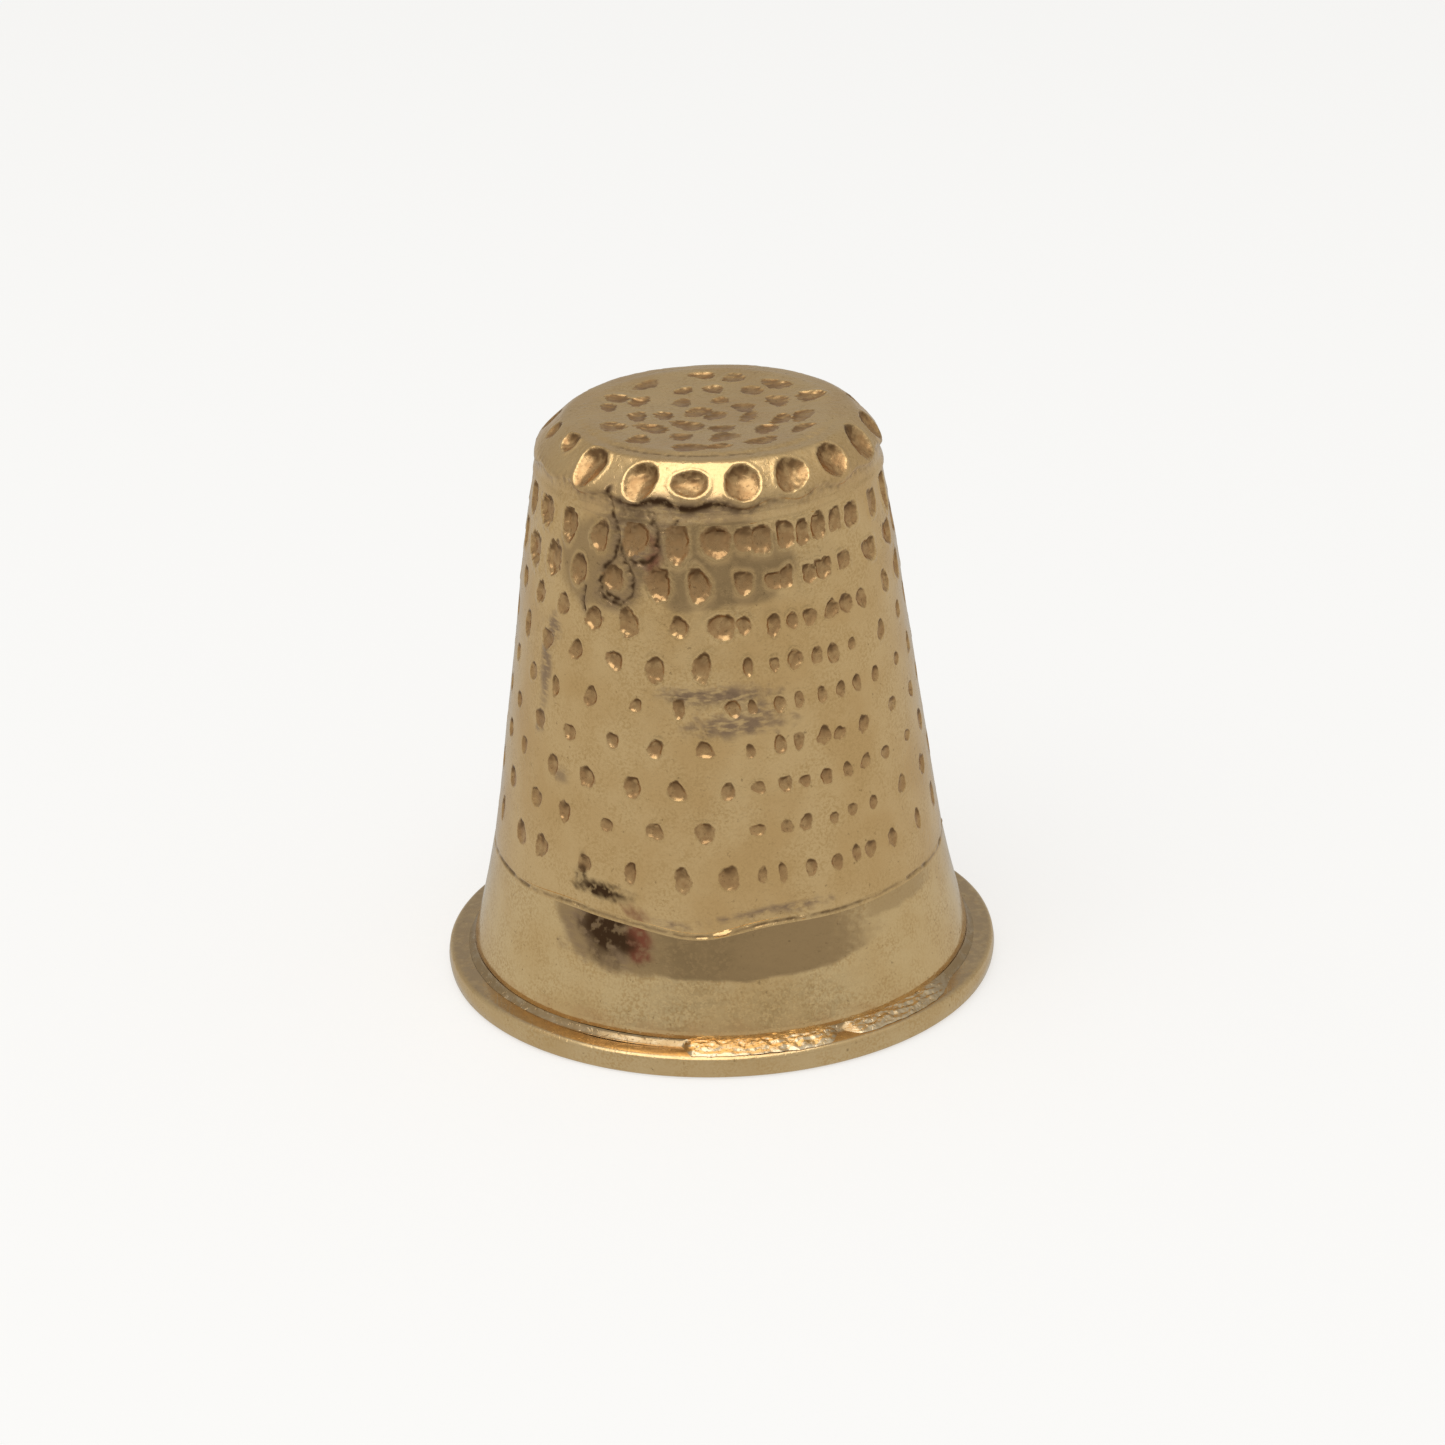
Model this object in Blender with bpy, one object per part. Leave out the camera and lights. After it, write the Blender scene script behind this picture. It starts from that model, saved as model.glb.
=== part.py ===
"""A gold sewing thimble made up from sheet: cap, side wall, skirt, rim ring and their solder.

Four formed pieces are joined by five runs of solder. The cap and the skirt each carry a thin
spigot that locates them inside the side wall, the rim ring is a flat ring round the skirt's
foot, and wall and skirt are both rolled from strip, so each has a soldered seam.

Lengths are in metres, +Z is up, and the origin is the centre of the rim's resting face.
Azimuths are in degrees from the front (-Y), positive towards the right (+X).
"""

import math

import bmesh
import bpy
from mathutils import Vector

# Overall sizes
HEIGHT = 0.0211
MOUTH_DIAMETER = 0.0169  # inside, where the finger goes in
CROWN_DIAMETER = 0.0121  # outside, where the cap meets the side wall
SHEET = 0.00055  # thickness of the rolled wall, the skirt and the cap

# Rim ring
RIM_WIDTH = 0.00095
RIM_THICKNESS = 0.00084
RIM_CHAMFER = 0.00012
FOOT_RECESS = 0.0001  # the skirt's foot stands this far above the resting face

# Skirt
SKIRT_HEIGHT = 0.0041  # from the rim's top up to the crease under the side wall
SKIRT_FLARE = 0.0009  # how much wider the skirt's foot is than its waist
FOOT_BAND = 0.0004  # plain upright band of the skirt above the rim

# Side wall
UPPER_BAND = 0.0027  # height of the steeper band below the cap
UPPER_TAPER = math.radians(9.5)

# Cap
CAP_DEPTH = 0.00195  # from the flat disc down to the cap's edge
DISC_DIAMETER = 0.0086
DISH = 0.00015  # how far the disc's middle lies below its edge
SHOULDER_POWER = 2.5  # 2 is a plain quarter ellipse, more is squarer
CAP_LIP = 0.00006  # how far the cap's edge stands proud of the wall

# Joints and solder
SPIGOT_THICKNESS = 0.0003
SPIGOT_LENGTH = 0.0010
SOLDER_FILM = 0.00015
SEAM_WIDTH = 0.00045
SEAM_AZIMUTH = -28.2
RIM_FILLET_HEIGHT = 0.0004
RIM_FILLET_WIDTH = 0.0006
JOINT_GAP = 0.00005  # the capillary gap that solder runs into

# Pits that catch the needle
PITS_AROUND = 28
PIT_ROW_PITCH = 0.00144
TOP_PIT_RADIUS = 0.00044
FOOT_PIT_RADIUS = 0.0003  # in the last row above the crease
PIT_DEPTH = 0.00025
TOP_PIT_MARGIN = 0.0005  # from the wall's upper end to the first row's middle
PLAIN_BAND = 0.0012  # least plain height between the last row's middle and the crease
DOUBLE_STRUCK = range(7, 12)  # columns where the row's end was struck over its start
CROWN_PITS = 18
CROWN_PIT_RADIUS = 0.0006
CROWN_PIT_DEPTH = 0.0003
CROWN_PIT_AZIMUTH = -7.6
DISC_PITS = ((12, 0.0035), (6, 0.00185))  # how many, and how far from the middle
DISC_PIT_RADIUS = 0.00033
CELL_SHARE = 0.4  # most of its cell's width that a pit's radius may take
FACING = 0.5  # least cosine between outwards and the normal of a face that takes a pit
SHARP_ANGLE = math.radians(22)

RING_STEPS = 48
SHOULDER_STEPS = 5
SKIRT_STEPS = 4
MERGE = 1e-7

# Places that follow from the sizes
FOOT_RADIUS = MOUTH_DIAMETER / 2 + SHEET
WAIST_RADIUS = FOOT_RADIUS - SKIRT_FLARE
CROWN_RADIUS = CROWN_DIAMETER / 2
DISC_RADIUS = DISC_DIAMETER / 2
RIM_BORE = FOOT_RADIUS + JOINT_GAP
RIM_RADIUS = RIM_BORE + RIM_WIDTH
CREASE_Z = RIM_THICKNESS + SKIRT_HEIGHT
FOOT_TOP = RIM_THICKNESS + FOOT_BAND
CAP_EDGE = HEIGHT - CAP_DEPTH
JOINT_HEIGHT = SOLDER_FILM + 2 * JOINT_GAP
WALL_TOP = CAP_EDGE - JOINT_HEIGHT
SKIRT_TOP = CREASE_Z - JOINT_HEIGHT
BREAK_Z = CAP_EDGE - UPPER_BAND
BREAK_RADIUS = CROWN_RADIUS + UPPER_BAND * math.tan(UPPER_TAPER)
WALL_SLOPE = (WAIST_RADIUS - BREAK_RADIUS) / (BREAK_Z - CREASE_Z)
SEAM_ANGLE = SEAM_WIDTH / WAIST_RADIUS

GOLD = ("gold", (0.72, 0.53, 0.28, 1.0), 0.22)
SOLDER = ("solder", (0.78, 0.63, 0.38, 1.0), 0.35)


def outer_radius(z):
    """Outside radius of the side wall and skirt at height z."""
    if z >= BREAK_Z:
        return CROWN_RADIUS + (CAP_EDGE - z) * math.tan(UPPER_TAPER)
    if z >= CREASE_Z:
        return BREAK_RADIUS + (BREAK_Z - z) * WALL_SLOPE
    length = CREASE_Z - FOOT_TOP
    share = min((CREASE_Z - z) / length, 1.0)
    kick = FOOT_RADIUS - WAIST_RADIUS - length * WALL_SLOPE
    ease = share * share * (3 - 2 * share)
    return WAIST_RADIUS + share * length * WALL_SLOPE + kick * ease


def shoulder_point(share):
    """(radius, z) on the cap's rounded edge: share 0 is its lower edge, 1 the disc's edge."""
    turn = share * math.pi / 2
    power = 2 / SHOULDER_POWER
    across = CROWN_RADIUS + CAP_LIP - DISC_RADIUS
    radius = DISC_RADIUS + across * math.cos(turn) ** power if share < 1 else DISC_RADIUS
    return radius, CAP_EDGE + CAP_DEPTH * math.sin(turn) ** power


def disc_z(radius):
    """Height of the dished disc at a distance from its middle."""
    return HEIGHT - DISH * (1 - (radius / DISC_RADIUS) ** 2)


def spread(first, last, count):
    """count + 1 evenly spaced values from first to last."""
    return [first + (last - first) * i / count for i in range(count + 1)]


def point_at(radius, azimuth, z):
    """A point from its radius, azimuth in radians and height."""
    return Vector((radius * math.sin(azimuth), -radius * math.cos(azimuth), z))


def azimuth_of(point):
    """Azimuth in radians of a point, from 0 to a full turn."""
    return math.atan2(point.x, -point.y) % math.tau


def spun(section, start, sweep, steps, closed):
    """A bmesh of the (radius, z) section turned about Z; an open section ends on the axis."""
    bm = bmesh.new()
    verts = [bm.verts.new(point_at(radius, start, z)) for radius, z in section]
    pairs = list(zip(verts, verts[1:]))
    if closed:
        pairs.append((verts[-1], verts[0]))
    edges = [bm.edges.new(pair) for pair in pairs]
    whole = abs(sweep - math.tau) < 1e-9
    bmesh.ops.spin(bm, geom=verts + edges, axis=(0, 0, 1), cent=(0, 0, 0), angle=sweep,
                   steps=steps, use_merge=whole)
    bmesh.ops.remove_doubles(bm, verts=bm.verts, dist=MERGE)
    if not whole:
        bmesh.ops.holes_fill(bm, edges=[e for e in bm.edges if e.is_boundary], sides=0)
    bmesh.ops.recalc_face_normals(bm, faces=bm.faces)
    return bm


def faces_out(face, centre):
    """True for a face that looks away from the axis."""
    return face.normal.dot(Vector((centre.x, centre.y, 0)).normalized()) > FACING


def press_pit(bm, faces, middle, normal, radius, depth):
    """Makes one cell of a few faces, insets it and presses it in as a cone with a round mouth."""
    if len(faces) > 1:
        faces = bmesh.ops.dissolve_faces(bm, faces=faces, use_verts=False)["region"]
    cell = faces[0]
    bmesh.ops.inset_individual(bm, faces=[cell], thickness=radius / 4)
    for vert in cell.verts:
        arm = vert.co - middle
        arm -= normal * arm.dot(normal)
        vert.co = middle + arm.normalized() * radius
    floor = bmesh.ops.poke(bm, faces=[cell])["verts"][0]
    floor.co = middle - normal * depth


def press_row(bm, start, step, cells, band, frame, radius, depth):
    """Presses a row of pits: cells are (first column, columns), band picks the faces in the row."""
    columns = {}
    for face in bm.faces:
        centre = face.calc_center_median()
        if band(face, centre):
            column = int(((azimuth_of(centre) - start) % math.tau) / step)
            columns.setdefault(column, []).append(face)
    for first, count in cells:
        faces = [f for column in range(first, first + count) for f in columns.get(column, [])]
        azimuth = start + (first + count / 2) * step
        at_radius, z, tilt = frame
        middle = point_at(at_radius, azimuth, z)
        normal = point_at(math.cos(tilt), azimuth, math.sin(tilt))
        width = count * step * at_radius
        size = min(radius, CELL_SHARE * width)
        press_pit(bm, faces, middle, normal, size, depth * size / radius)


def wall_rows():
    """Heights of the pit rows on the side wall, from the top down."""
    room = WALL_TOP - TOP_PIT_MARGIN - CREASE_Z - PLAIN_BAND
    count = int(room / PIT_ROW_PITCH + 1e-6) + 1
    return [WALL_TOP - TOP_PIT_MARGIN - i * PIT_ROW_PITCH for i in range(count)]


def wall_cells(row):
    """(first column, columns) of each pit in a row; rows are staggered and skip the seam."""
    cells = []
    for first in range(row % 2, 2 * PITS_AROUND - 1, 2):
        if first in DOUBLE_STRUCK:
            cells += [(first, 1), (first + 1, 1)]
        else:
            cells.append((first, 2))
    return cells


def seam_start():
    """Azimuth in radians of the edge of the seam where the rolled strip starts."""
    return math.radians(SEAM_AZIMUTH) + SEAM_ANGLE / 2


def wall_bmesh():
    """The tapered tube rolled from strip, pitted outside, with an open seam."""
    rows = wall_rows()
    half = PIT_ROW_PITCH / 2
    levels = [WALL_TOP] + [z - half for z in rows] + [CREASE_Z]
    outside = [(outer_radius(z), z) for z in levels]
    inside = [(outer_radius(z) - SHEET, z) for z in (CREASE_Z, BREAK_Z, WALL_TOP)]
    sweep = math.tau - SEAM_ANGLE
    step = sweep / (2 * PITS_AROUND)
    bm = spun(outside + inside, seam_start(), sweep, 2 * PITS_AROUND, closed=True)
    for row, z in enumerate(rows):
        slope = (outer_radius(z - half) - outer_radius(z + half)) / PIT_ROW_PITCH
        tilt = math.atan(slope)

        def in_row(face, centre, z=z):
            return faces_out(face, centre) and abs(centre.z - z) < half / 2

        share = row / max(len(rows) - 1, 1)
        radius = TOP_PIT_RADIUS + (FOOT_PIT_RADIUS - TOP_PIT_RADIUS) * share
        press_row(bm, seam_start(), step, wall_cells(row), in_row,
                  (outer_radius(z), z, tilt), radius, PIT_DEPTH)
    return bm


def skirt_section():
    """The skirt's (radius, z) outline: outside down, foot, inside up, joggle and spigot."""
    outside = [(outer_radius(z), z) for z in spread(SKIRT_TOP, FOOT_TOP, SKIRT_STEPS)]
    outside.append((FOOT_RADIUS, FOOT_RECESS))
    inside = [(radius - SHEET, z) for radius, z in reversed(outside)][:-1]
    spigot_outer = outer_radius(CREASE_Z) - SHEET - JOINT_GAP
    spigot_top = CREASE_Z + SPIGOT_LENGTH
    top_outer = outer_radius(spigot_top) - SHEET - JOINT_GAP
    spigot = [
        (spigot_outer - SPIGOT_THICKNESS, SKIRT_TOP - SPIGOT_THICKNESS),
        (top_outer - SPIGOT_THICKNESS, spigot_top),
        (top_outer, spigot_top),
        (spigot_outer, CREASE_Z),
        (spigot_outer, SKIRT_TOP),
    ]
    return outside + inside + spigot


def skirt_bmesh():
    """The plain flared band below the side wall, rolled from strip like it."""
    return spun(skirt_section(), seam_start(), math.tau - SEAM_ANGLE, RING_STEPS, closed=True)


def seam_solder_bmesh(section):
    """The solder that fills a seam: a short sweep of the wall's own section."""
    clearance = JOINT_GAP / CROWN_RADIUS
    start = seam_start() - SEAM_ANGLE + clearance
    return spun(section, start, SEAM_ANGLE - 2 * clearance, 1, closed=True)


def wall_seam_bmesh():
    """The wall's seam, filled from the crease to the cap's joint."""
    levels = (WALL_TOP, BREAK_Z, CREASE_Z)
    outside = [(outer_radius(z), z) for z in levels]
    inside = [(radius - SHEET, z) for radius, z in reversed(outside)]
    return seam_solder_bmesh(outside + inside)


def cap_bmesh():
    """The cap: a dished disc with a rounded, pitted shoulder and a spigot below."""
    shares = spread(1.0, 0.0, SHOULDER_STEPS)
    shoulder = [shoulder_point(share) for share in shares]
    outer_count, outer_ring = DISC_PITS[0]
    inner_count, inner_ring = DISC_PITS[1]
    between = (outer_ring + inner_ring) / 2
    middle_edge = inner_ring - (between - inner_ring)
    disc = [(radius, disc_z(radius)) for radius in (middle_edge, between)]
    spigot_outer = CROWN_RADIUS - SHEET - JOINT_GAP
    spigot_inner = spigot_outer - SPIGOT_THICKNESS
    under_disc = HEIGHT - DISH - SHEET
    haunch = SHEET
    section = [(0.0, disc_z(0.0))] + disc + shoulder
    section += [
        (spigot_outer, CAP_EDGE),
        (spigot_outer, WALL_TOP - SPIGOT_LENGTH),
        (spigot_inner, WALL_TOP - SPIGOT_LENGTH),
        (spigot_inner, under_disc - haunch),
        (spigot_inner - haunch, under_disc),
        (0.0, under_disc),
    ]
    columns = 2 * CROWN_PITS
    step = math.tau / columns
    start = math.radians(CROWN_PIT_AZIMUTH) - step
    bm = spun(section, start, math.tau, columns, closed=False)

    pit_radius, pit_z = shoulder_point(0.5)
    below, above = shoulder_point(0.45), shoulder_point(0.55)
    tilt = math.atan2(below[0] - above[0], above[1] - below[1])
    top, bottom = shoulder[1][1], shoulder[-2][1]

    def on_shoulder(face, centre):
        return bottom < centre.z < top and faces_out(face, centre)

    press_row(bm, start, step, [(i, 2) for i in range(0, columns, 2)], on_shoulder,
              (pit_radius, pit_z, tilt), CROWN_PIT_RADIUS, CROWN_PIT_DEPTH)

    def on_disc(low, high):
        def picked(face, centre):
            radius = math.hypot(centre.x, centre.y)
            return face.normal.z > FACING and low < radius < high and centre.z > under_disc
        return picked

    for count, ring, low, high in ((outer_count, outer_ring, between, DISC_RADIUS),
                                   (inner_count, inner_ring, middle_edge, between)):
        wide = columns // count
        cells = [(i * wide, wide) for i in range(count)]
        press_row(bm, start, step, cells, on_disc(low, high),
                  (ring, disc_z(ring), math.pi / 2), DISC_PIT_RADIUS, PIT_DEPTH)
    middle_faces = [f for f in bm.faces if on_disc(0, middle_edge)(f, f.calc_center_median())]
    press_pit(bm, middle_faces, Vector((0, 0, disc_z(0))), Vector((0, 0, 1)),
              DISC_PIT_RADIUS, PIT_DEPTH)
    return bm


def washer_bmesh(inner, outer_low, outer_high, low, high):
    """A thin solder ring with an upright bore and a sloping outside."""
    section = [(outer_high, high), (outer_low, low), (inner, low), (inner, high)]
    return spun(section, 0.0, math.tau, RING_STEPS, closed=True)


def crown_solder_bmesh():
    """The solder film between the cap's edge and the wall's upper end."""
    low, high = WALL_TOP + JOINT_GAP, CAP_EDGE - JOINT_GAP
    inner = CROWN_RADIUS - SHEET
    return washer_bmesh(inner, outer_radius(low), CROWN_RADIUS, low, high)


def skirt_solder_bmesh():
    """The solder film between the wall's lower end and the skirt's shoulder."""
    low, high = SKIRT_TOP + JOINT_GAP, CREASE_Z - JOINT_GAP
    return washer_bmesh(WAIST_RADIUS - SHEET, outer_radius(low), WAIST_RADIUS, low, high)


def rim_bmesh():
    """The flat ring round the skirt's foot, which the thimble stands on."""
    section = [
        (RIM_RADIUS - RIM_CHAMFER, RIM_THICKNESS),
        (RIM_RADIUS, RIM_THICKNESS - RIM_CHAMFER),
        (RIM_RADIUS, RIM_CHAMFER),
        (RIM_RADIUS - RIM_CHAMFER, 0.0),
        (RIM_BORE, 0.0),
        (RIM_BORE, RIM_THICKNESS),
    ]
    return spun(section, 0.0, math.tau, RING_STEPS, closed=True)


def rim_solder_bmesh():
    """The solder fillet in the corner between the rim's top and the skirt."""
    low = RIM_THICKNESS + JOINT_GAP
    inner = FOOT_RADIUS + JOINT_GAP
    section = [(inner, low + RIM_FILLET_HEIGHT), (inner + RIM_FILLET_WIDTH, low), (inner, low)]
    return spun(section, 0.0, math.tau, RING_STEPS, closed=True)


def clear_scene():
    """Removes the objects that the startup scene holds."""
    for thing in list(bpy.data.objects):
        bpy.data.objects.remove(thing)


def finish_of(name, colour, roughness):
    """A metal material with the given colour and roughness."""
    material = bpy.data.materials.get(name) or bpy.data.materials.new(name)
    material.use_nodes = True
    shader = material.node_tree.nodes["Principled BSDF"]
    shader.inputs["Base Color"].default_value = colour
    shader.inputs["Metallic"].default_value = 1.0
    shader.inputs["Roughness"].default_value = roughness
    return material


def add_piece(name, bm, finish):
    """Puts a bmesh in the scene as a named object with its finish."""
    mesh = bpy.data.meshes.new(name)
    bm.to_mesh(mesh)
    bm.free()
    mesh.shade_smooth()
    mesh.set_sharp_from_angle(angle=SHARP_ANGLE)
    mesh.materials.append(finish_of(*finish))
    piece = bpy.data.objects.new(name, mesh)
    bpy.context.scene.collection.objects.link(piece)
    return piece


def main():
    """Builds the nine pieces."""
    clear_scene()
    add_piece("crown_cap", cap_bmesh(), GOLD)
    add_piece("side_wall", wall_bmesh(), GOLD)
    add_piece("skirt_band", skirt_bmesh(), GOLD)
    add_piece("rim_ring", rim_bmesh(), GOLD)
    add_piece("crown_solder", crown_solder_bmesh(), SOLDER)
    add_piece("wall_seam_solder", wall_seam_bmesh(), SOLDER)
    add_piece("skirt_solder", skirt_solder_bmesh(), SOLDER)
    add_piece("skirt_seam_solder", seam_solder_bmesh(skirt_section()), SOLDER)
    add_piece("rim_solder", rim_solder_bmesh(), SOLDER)


main()
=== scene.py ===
"""The fine shape and the finish of a hand-made gold thimble, built round its fixed frame.

Each piece of the frame is replaced by a finer one of the same size: the struck cap, the struck
side wall, the skirt, the rim ring and the five runs of solder that join them. Lengths are in
metres and angles in radians, unless a docstring says otherwise. Azimuths are counted from the
front (-Y), positive towards the right (+X).
"""

import logging
import math
from dataclasses import dataclass, field
from enum import Enum
from typing import ClassVar

import bmesh
import bpy
import numpy as np
from mathutils import Matrix, Vector


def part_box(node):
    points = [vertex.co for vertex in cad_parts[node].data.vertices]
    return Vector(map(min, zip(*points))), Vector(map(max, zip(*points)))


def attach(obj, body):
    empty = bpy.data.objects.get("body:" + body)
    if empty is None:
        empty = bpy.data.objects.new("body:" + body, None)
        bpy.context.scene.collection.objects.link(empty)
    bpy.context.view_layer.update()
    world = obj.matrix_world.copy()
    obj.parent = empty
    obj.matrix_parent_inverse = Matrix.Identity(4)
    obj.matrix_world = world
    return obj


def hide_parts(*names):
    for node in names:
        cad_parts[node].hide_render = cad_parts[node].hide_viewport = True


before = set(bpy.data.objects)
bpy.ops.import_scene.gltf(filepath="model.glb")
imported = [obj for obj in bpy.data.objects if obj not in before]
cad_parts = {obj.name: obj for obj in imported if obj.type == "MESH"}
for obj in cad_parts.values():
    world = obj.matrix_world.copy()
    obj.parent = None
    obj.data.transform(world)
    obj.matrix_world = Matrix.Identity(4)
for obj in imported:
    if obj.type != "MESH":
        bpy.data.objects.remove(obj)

LOG = logging.getLogger("thimble")
MM = 0.001
BODY = "root"
Pair = tuple[float, float]
Colour = tuple[float, float, float]
Outline = list[Pair]
Socket = bpy.types.NodeSocket

PLAY = 0.05 * MM  # between a spigot and the tube it stands in
SPIGOT_REACH = 1.0 * MM
SHARP_EDGE = math.radians(66)
CROWN_COUNT = 19
CROWN_FIRST = -7.3  # azimuth in degrees of the large pit in front
UNIT = (0.0, 1.0)
ROOM_TINT = (1.0, 0.99, 0.955, 1.0)


class Mouth(Enum):
    """The outline of a pit's mouth, as the power of its superellipse."""

    ROUND = 2.0
    SQUARED = 3.4


class Channel(Enum):
    """The surface marks that a mesh hands to its finish, as named attributes."""

    # nearness to a pit's middle; pit floors get the pit tint, partly tarnish and partly painted shade
    PIT = "pit"
    # soil in cracks and seams, and painted shade in the upper insides of pits and under the cap's step
    GRIME_AND_SHADE = "grime_and_shade"
    # stains, and painted shade under the cap's step and on the rim's smooth solder
    STAIN_AND_SHADE = "stain_and_shade"
    # painted reflection of dark things in front of the thimble, as a darker tint
    SHADE = "shade"
    # orange-brown tint: painted reflection of the skirt on the rim's top, painted shade on its smooth
    # solder, and a tint round the skirt's foot
    BLUSH = "blush"
    # reddish tint; by the skirt's seam partly a painted reflection of dark things in front
    COPPER = "copper"


# Numbers that every piece works from


def smooth(low: float, high: float, value: np.ndarray) -> np.ndarray:
    """Eases from 0 at low to 1 at high.

    Args:
        low: value where the result is 0.
        high: value where the result is 1.
        value: the numbers to ease.

    Returns:
        An array of the same shape, from 0 to 1.
    """
    share = np.clip((value - low) / (high - low), 0.0, 1.0)
    return share * share * (3.0 - 2.0 * share)


def ripples(points: np.ndarray, length: float, seed: int, waves: int = 18) -> np.ndarray:
    """Smooth unevenness made of plane waves in seeded directions.

    Args:
        points: places to read it at, one row each.
        length: typical distance from one swell to the next.
        seed: number that fixes the directions and phases.
        waves: how many waves are summed.

    Returns:
        One value for each point, mostly between -1 and 1.
    """
    rng = np.random.default_rng(seed)
    total = np.zeros(len(points))
    for _ in range(waves):
        direction = rng.normal(size=3)
        direction /= np.linalg.norm(direction)
        pace = math.tau / (length * rng.uniform(0.7, 1.6))
        total += np.sin(points @ direction * pace + rng.uniform(0.0, math.tau))
    return total / math.sqrt(waves)


def bell(value: np.ndarray, middle: float | np.ndarray, width: float | np.ndarray) -> np.ndarray:
    """A rounded hump: 1 where value is middle, about a third of that at one width from it."""
    return np.exp(-(((value - middle) / width) ** 2))


def azimuth_of(points: np.ndarray) -> np.ndarray:
    """Azimuths of points in radians, from -pi to pi."""
    return np.arctan2(points[:, 0], -points[:, 1])


def radius_of(points: np.ndarray) -> np.ndarray:
    """Distances of points from the thimble's axis."""
    return np.hypot(points[:, 0], points[:, 1])


def wrapped(angle: np.ndarray) -> np.ndarray:
    """Angles in radians brought to between -pi and pi."""
    return (angle + math.pi) % math.tau - math.pi


def unit_to_axis(azimuth: float, tilt: float) -> np.ndarray:
    """A unit vector that looks outwards at an azimuth, tilted up by tilt."""
    level = math.cos(tilt)
    return np.array([level * math.sin(azimuth), -level * math.cos(azimuth), math.sin(tilt)])


def ring_point(azimuth: float, radius: float, z: float) -> np.ndarray:
    """The point at an azimuth, a distance from the axis and a height."""
    return np.array([math.sin(azimuth) * radius, -math.cos(azimuth) * radius, z])


@dataclass(frozen=True)
class Form:
    """The thimble's main radii and heights, and the line of its outside.

    The first group is read from the frame; the second repeats sizes that no box shows.
    """

    rim_radius: float
    rim_top: float
    foot_radius: float
    foot_z: float
    waist_radius: float
    crease: float
    skirt_joint: float
    wall_top: float
    crown_radius: float
    cap_edge: float
    height: float

    sheet: float = 0.55 * MM
    spigot: float = 0.30 * MM
    foot_band: float = 0.40 * MM
    upper_band: float = 2.7 * MM
    upper_taper: float = math.radians(9.5)
    disc_radius: float = 4.3 * MM
    dish: float = 0.15 * MM
    lip_out: float = 0.06 * MM
    shoulder_power: float = 2.5
    skirt_start: float = 0.9
    slope_step: float = 0.05 * MM

    @classmethod
    def from_frame(cls) -> "Form":
        """Reads the sizes from the boxes of the frame's nodes.

        Returns:
            The form that every piece is built on.
        """
        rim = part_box("rim_ring")
        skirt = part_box("skirt_band")
        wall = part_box("side_wall")
        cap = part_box("crown_cap")
        skirt_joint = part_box("skirt_solder")
        crown_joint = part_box("crown_solder")
        joint_gap = crown_joint[0].z - wall[1].z
        return cls(
            rim_radius=rim[1].x,
            rim_top=rim[1].z,
            foot_radius=skirt[1].x,
            foot_z=skirt[0].z,
            waist_radius=wall[1].x,
            crease=wall[0].z,
            skirt_joint=skirt_joint[0].z - joint_gap,
            wall_top=wall[1].z,
            crown_radius=crown_joint[1].x,
            cap_edge=crown_joint[1].z + joint_gap,
            height=cap[1].z,
        )

    def radius(self, z: np.ndarray | float) -> np.ndarray | float:
        """Outside radius of the wall and the skirt.

        Args:
            z: height or heights above the resting face.

        Returns:
            The radius at each height.
        """
        z = np.asarray(z, float)
        break_z = self.cap_edge - self.upper_band
        break_radius = self.crown_radius + self.upper_band * math.tan(self.upper_taper)
        slope = (self.waist_radius - break_radius) / (break_z - self.crease)
        upper = self.crown_radius + (self.cap_edge - z) * math.tan(self.upper_taper)
        middle = break_radius + (break_z - z) * slope
        length = self.crease - self.rim_top - self.foot_band
        share = np.clip((self.crease - z) / length, 0.0, 1.0)
        flare = self.foot_radius - self.waist_radius
        lower = self.waist_radius + flare * share * (self.skirt_start + (1.0 - self.skirt_start) * share)
        return np.where(z >= break_z, upper, np.where(z >= self.crease, middle, lower))

    def tilt(self, z: float) -> float:
        """How far the wall's outward normal tips up at height z, in radians."""
        step = self.slope_step
        return math.atan2(float(self.radius(z - step) - self.radius(z + step)), 2.0 * step)

    def outward(self, points: np.ndarray) -> np.ndarray:
        """Unit normals of the wall and the skirt.

        Args:
            points: places on or near the outside, one row each.

        Returns:
            One normal for each point.
        """
        step = self.slope_step
        z = points[:, 2]
        lean = np.arctan2(self.radius(z - step) - self.radius(z + step), 2.0 * step)
        level = np.cos(lean) / np.maximum(radius_of(points), 1e-9)
        return np.stack([points[:, 0] * level, points[:, 1] * level, np.sin(lean)], axis=1)

    def shoulder(self, share: float) -> tuple[float, float]:
        """A point of the cap's rounded edge.

        Args:
            share: 0 at the cap's lower edge, 1 at the edge of its disc.

        Returns:
            (radius, z) of the point.
        """
        turn = share * math.pi / 2.0
        power = 2.0 / self.shoulder_power
        across = self.crown_radius + self.lip_out - self.disc_radius
        radius = self.disc_radius + across * max(math.cos(turn), 0.0) ** power
        return radius, self.cap_edge + (self.height - self.cap_edge) * math.sin(turn) ** power

    def disc_z(self, radius: float) -> float:
        """Height of the dished disc at a distance from its middle."""
        return self.height - self.dish * (1.0 - (radius / self.disc_radius) ** 2)


# Marks struck into the metal


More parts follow.
